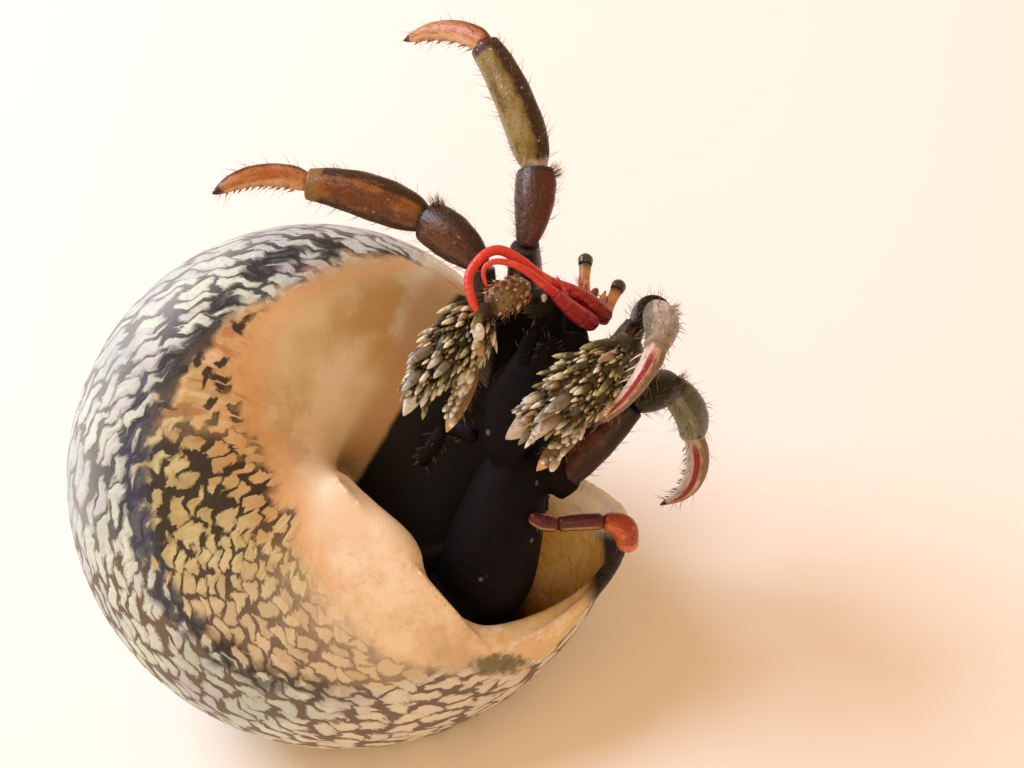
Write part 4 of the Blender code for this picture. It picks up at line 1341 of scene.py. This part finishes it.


# The trunk: a dark shield over one skin, from the chest to the coiled abdomen; its near-black is partly
# painted shade of the mouth it fills

trunkPlan = {
    "middle": (8.75, 3.7, -0.95), "forward": (0.385, 0.868, 0.31), "back": (0.34, 0.18, -0.92),
    "flank": [(7.7, 7.9, -1.1), (7.5, 6.2, -1.0), (7.5, 4.2, -1.0), (7.9, 1.6, -1.3)],
    "flankWidths": (0.7, 0.95, 1.15, 1.2), "legRoot": (0.8, 0.72, 0.62), "clawRoot": (0.9, 0.75, 0.6),
    "breast": ((0, 0, -1.35), (1.5, 3.3, 0.7)), "shield": ((0, 0, 0.75), (1.9, 4.1, 1.15)),
    "jaw": ((0.45, 1.8, -2.4), (0.5, 2.8, -2.75), (0.4, 3.8, -2.75)), "jawWidths": (0.28, 0.36, 0.26),
    "belly": [(8.3, 1.6, -1.7), (7.6, -0.9, -2.1), (7.0, -3.0, -2.9), (6.5, -4.7, -4.3), (5.9, -5.3, -6.4)],
    "bellyWidths": (1.2, 1.75, 2.15, 2.25, 1.9),
    "abdomenAngles": (-8, -10, -15, -24, -38, -54, -76, -102, -130, -158, -166),
    "abdomenWidths": (0.7, 1.4, 2.0, 2.35, 2.45, 2.35, 2.1, 1.8, 1.4, 0.9, 0.4),
    "voxel": 0.13, "smoothing": 6,
}


def trunkPose():
    forward = Vector(trunkPlan["forward"]).normalized()
    back = Vector(trunkPlan["back"])
    back = (back - forward * forward.dot(back)).normalized()
    turned = Matrix((forward.cross(back), forward, back)).transposed().to_4x4()
    return Matrix.Translation(trunkPlan["middle"]) @ turned


def egg(name, middle, half, pose=None, segments=32):
    deselectAll()
    bpy.ops.mesh.primitive_uv_sphere_add(segments=segments, ring_count=segments // 2, radius=1)
    piece = bpy.context.object
    piece.name = piece.data.name = name
    piece.data.transform(Matrix.Translation(middle) @ Matrix.Diagonal((*half, 1)))
    if pose is not None:
        piece.data.transform(pose)
    piece.data.shade_smooth()
    return piece


def darkPaint(name):
    paint = Paint(name)
    place = paint.place()
    broad, medium, fine = paint.noise(place, 0.5), paint.noise(place, 1.6), paint.noise(place, 6.0, 4.0)
    # near-black: partly the crab's own dark underside, partly painted shade of the shell's mouth that the
    # trunk fills
    colour = paint.mix(medium.step(0.38, 0.62), (12, 12, 13), (16, 14, 14))
    colour = paint.mix((broad + medium.sway(0.4)).step(0.52, 0.66) * 0.5, colour, (28, 12, 12))
    specks = paint.cells("F1", place, 0.62)
    colour = paint.mix((specks + fine.sway(0.1)).step(0.10, 0.06) * 0.5, colour, (120, 120, 112))
    creases = paint.noise(paint.vector(paint.attribute("rowX") * 0.4, paint.attribute("rowY") * 2.4), 1.0)
    return paint.finish(colour=colour, roughness=0.7 + fine.sway(0.2), coat=0.0, specular=0.1,
                        normal=paint.bump(medium * 0.5 + fine * 0.4 + creases * 0.6, 0.12, 0.6))


def darkPiece(piece, *nodes):
    points = pointsOf(piece)
    setAttribute(piece, "rowX", points[:, 0])
    setAttribute(piece, "rowY", points[:, 1])
    handOver(piece, paintFor("darkSkinAndShade", darkPaint), "trunk_skin", *nodes)


def buildTrunk():
    pose = trunkPose()
    shape = trunkPlan
    path = [shellPlace @ Vector(onWhorl(tubeMiddle, angle)[0]) for angle in shape["abdomenAngles"]]
    parts = [
        limbPiece("abdomenTube", Limb(path, shape["abdomenWidths"], zUp, endRound=(1.0, 0.5)), 60, 32),
        limbPiece("flank", Limb(shape["flank"], shape["flankWidths"], zUp), 30, 24),
        limbPiece("bellyTube", Limb(shape["belly"], shape["bellyWidths"], zUp, endRound=(0.9, 0.9)), 40, 32),
        egg("breast", *shape["breast"], pose),
    ]
    middle = Vector(shape["middle"])
    for plan in legPlans.values():
        hip, knee = Vector(plan["joints"][0]), Vector(plan["joints"][1])
        start = (middle.lerp(hip, 0.4) + Vector((0, 0, 0.3))).lerp(hip, -0.2)
        path = [start, hip, hip.lerp(knee, 0.22)]
        parts.append(limbPiece("coxa", Limb(path, shape["legRoot"], zUp), 20, 20))
    for plan in clawPlans.values():
        root, elbow = Vector(plan["merus"][0]), Vector(plan["merus"][1])
        path = [middle.lerp(root, 0.5), root, root.lerp(elbow, 0.3)]
        parts.append(limbPiece("coxa", Limb(path, shape["clawRoot"], zUp), 20, 20))
    for part in parts:
        for mark in list(part.data.attributes):
            if mark.name in ("length", "back", "flank"):
                part.data.attributes.remove(mark)
    skin = fused("crab_skin", parts, shape["voxel"], shape["smoothing"])
    skin.data.shade_smooth()
    darkPiece(skin, "abdomen", "trunk_rear", "chest")
    darkPiece(egg("carapace_shield", *shape["shield"], pose, 48), "carapace")
    for side, sign in (("right", 1), ("left", -1)):
        jaw = [pose @ Vector((out * sign, along, up)) for out, along, up in shape["jaw"]]
        limb = Limb(jaw, shape["jawWidths"], zUp, endRound=(0.2, 0.3))
        darkPiece(limbPiece(f"maxilliped_{side}_skin", limb), f"maxilliped_{side}")
        growHairs(limb, 24, (0.2, 0.4), 300 + sign)


# The small fourth legs, one of them hooked over the lip

smallLegs = {
    "leg_left_4_inner": {"path": [(8.5, -1.75, -0.9), (9.2, -2.1, -1.0), (9.9, -2.2, -1.3)],
                         "widths": (0.30, 0.40, 0.36), "look": "maroon"},
    "leg_left_4_outer": {"path": [(9.75, -2.2, -1.3), (10.9, -2.1, -1.4), (12.05, -2.05, -1.5)],
                         "widths": (0.36, 0.42, 0.42), "look": "maroon"},
    "leg_left_4_tip": {"path": [(11.85, -2.0, -1.5), (12.85, -2.35, -1.8), (13.15, -3.4, -2.6)],
                       "widths": (0.40, 0.64, 0.52), "look": "orangeTip"},
    "leg_right_4_inner": {"path": [(6.2, 1.7, -1.5), (5.5, 2.1, -1.9), (4.75, 2.3, -2.4)],
                          "widths": (0.38, 0.48, 0.38), "look": "shaded"},
    "leg_right_4_outer": {"path": [(4.7, 2.25, -2.45), (4.2, 1.4, -2.6), (3.6, 0.4, -2.9)],
                          "widths": (0.38, 0.44, 0.26), "look": "shaded"},
}

smallLegLooks = {
    "maroon": horn((82, 24, 22), (104, 38, 28), (80, 20, 22), (90, 36, 30), (72, 22, 22), (170, 120, 76),
        speckShare=0.3, stripe=(0.05, 0.3, (176, 124, 74))),
    "shaded": horn((18, 15, 14), (26, 17, 15), (16, 14, 14), (16, 14, 14), (16, 14, 14), (40, 34, 28),
        speckShare=0.3, rough=0.6, shine=0.1, coat=0.0, grime=0.2),
    "orangeTip": horn((196, 98, 44), (214, 116, 60), (160, 60, 26), (206, 112, 60), (120, 40, 26),
        (230, 150, 96), tip=(222, 118, 78), ringFrom=0.7),
}


def buildSmallLegs():
    for name, plan in smallLegs.items():
        limb = Limb(plan["path"], plan["widths"], (0, 0.6, 0.8), flat=0.9, waves=0.02)
        horny = paintFor(plan["look"], armourPaint, smallLegLooks[plan["look"]])
        dressed(f"{name}_armour", limb, horny, "claw_tip" if name.endswith("tip") else "leg_armour", name)
        growHairs(limb, 26, (0.15, 0.4), 400 + len(name))


def hairPaint(name):
    paint = Paint(name)
    tip, each = paint.attribute("tip"), paint.attribute("each")
    colour = paint.mix(tip.step(0.1, 0.9), (96, 78, 46), (176, 160, 112))
    colour = paint.mix(each.step(0.5, 0.9), colour, (70, 54, 36))
    return paint.finish(colour=colour, roughness=0.5)


def buildHairs():
    rows = {key: np.concatenate(value) for key, value in hairs.items()}
    roots, ways, lengths, leans = (rows[key] for key in ("roots", "ways", "lengths", "leans"))
    coat = spikes("bristles", roots, ways, lengths, hairWidth, leans, sides=4, uvOf=rows["uv"])
    handOver(coat, hairPaint("bristleHorn"), "leg_armour")
    print("bristle faces", len(coat.data.polygons))


# The floor, the lights and the camera

stageSetup = {
    "floorSize": 0.9, "floor": (252, 249, 240), "sky": (255, 203, 152), "skyStrength": 0.76,
    "cameraAim": (7.79, 4.19, 0), "cameraDistance": 120, "lens": 93.7,
    "lights": {  # place, size, power and colour, on the ground in metres
        "windowLight": ((-0.17, 0.12, 0.22), 0.20, 0.92, (219, 229, 255)),
        "fillLight": ((-0.02, -0.26, 0.20), 0.16, 0.12, (255, 238, 214)),
    },
    "lightAim": (0, 0, 0.01),
}


def buildStage():
    deselectAll()
    bpy.ops.mesh.primitive_plane_add(size=stageSetup["floorSize"])
    floor = bpy.context.object
    floor.name = "floor"
    paint = Paint("paleFloor")
    floor.data.materials.append(paint.finish(colour=stageSetup["floor"], roughness=0.7, specular=0.2))

    world = bpy.data.worlds.new("softRoom")
    bpy.context.scene.world = world
    world.use_nodes = True
    sky = world.node_tree.nodes["Background"]
    sky.inputs["Color"].default_value = tint(*stageSetup["sky"])
    sky.inputs["Strength"].default_value = stageSetup["skyStrength"]

    for name, (place, size, power, colour) in stageSetup["lights"].items():
        light = bpy.data.lights.new(name, "AREA")
        light.shape, light.size, light.energy, light.color = "DISK", size, power, tint(*colour)[:3]
        lamp = bpy.data.objects.new(name, light)
        bpy.context.scene.collection.objects.link(lamp)
        aim = Vector(stageSetup["lightAim"]) - Vector(place)
        lamp.matrix_world = Matrix.Translation(place) @ aim.to_track_quat("-Z", "Y").to_matrix().to_4x4()

    lens = bpy.data.cameras.new("camera")
    lens.lens, lens.sensor_width, lens.clip_start, lens.clip_end = stageSetup["lens"], 36, 0.005, 10
    camera = bpy.data.objects.new("camera", lens)
    bpy.context.scene.collection.objects.link(camera)
    aim = Vector(stageSetup["cameraAim"])
    eye = toWorld @ (aim + Vector((0, 0, stageSetup["cameraDistance"])))
    camera.matrix_world = Matrix.Translation(eye) @ laidDown
    bpy.context.scene.camera = camera
    bpy.context.scene.view_settings.view_transform = "Standard"


shell = buildShell()
markShell(shell)
handOver(shell, shellPaint(), "shell", "shell")
print("shell done")
stages = {
    "walking legs": buildLegs, "claws": buildClaws, "head": buildHead, "trunk": buildTrunk,
    "small legs": buildSmallLegs, "bristles": buildHairs, "floor and light": buildStage,
}
for stage, build in stages.items():
    build()
    print(stage, "done")
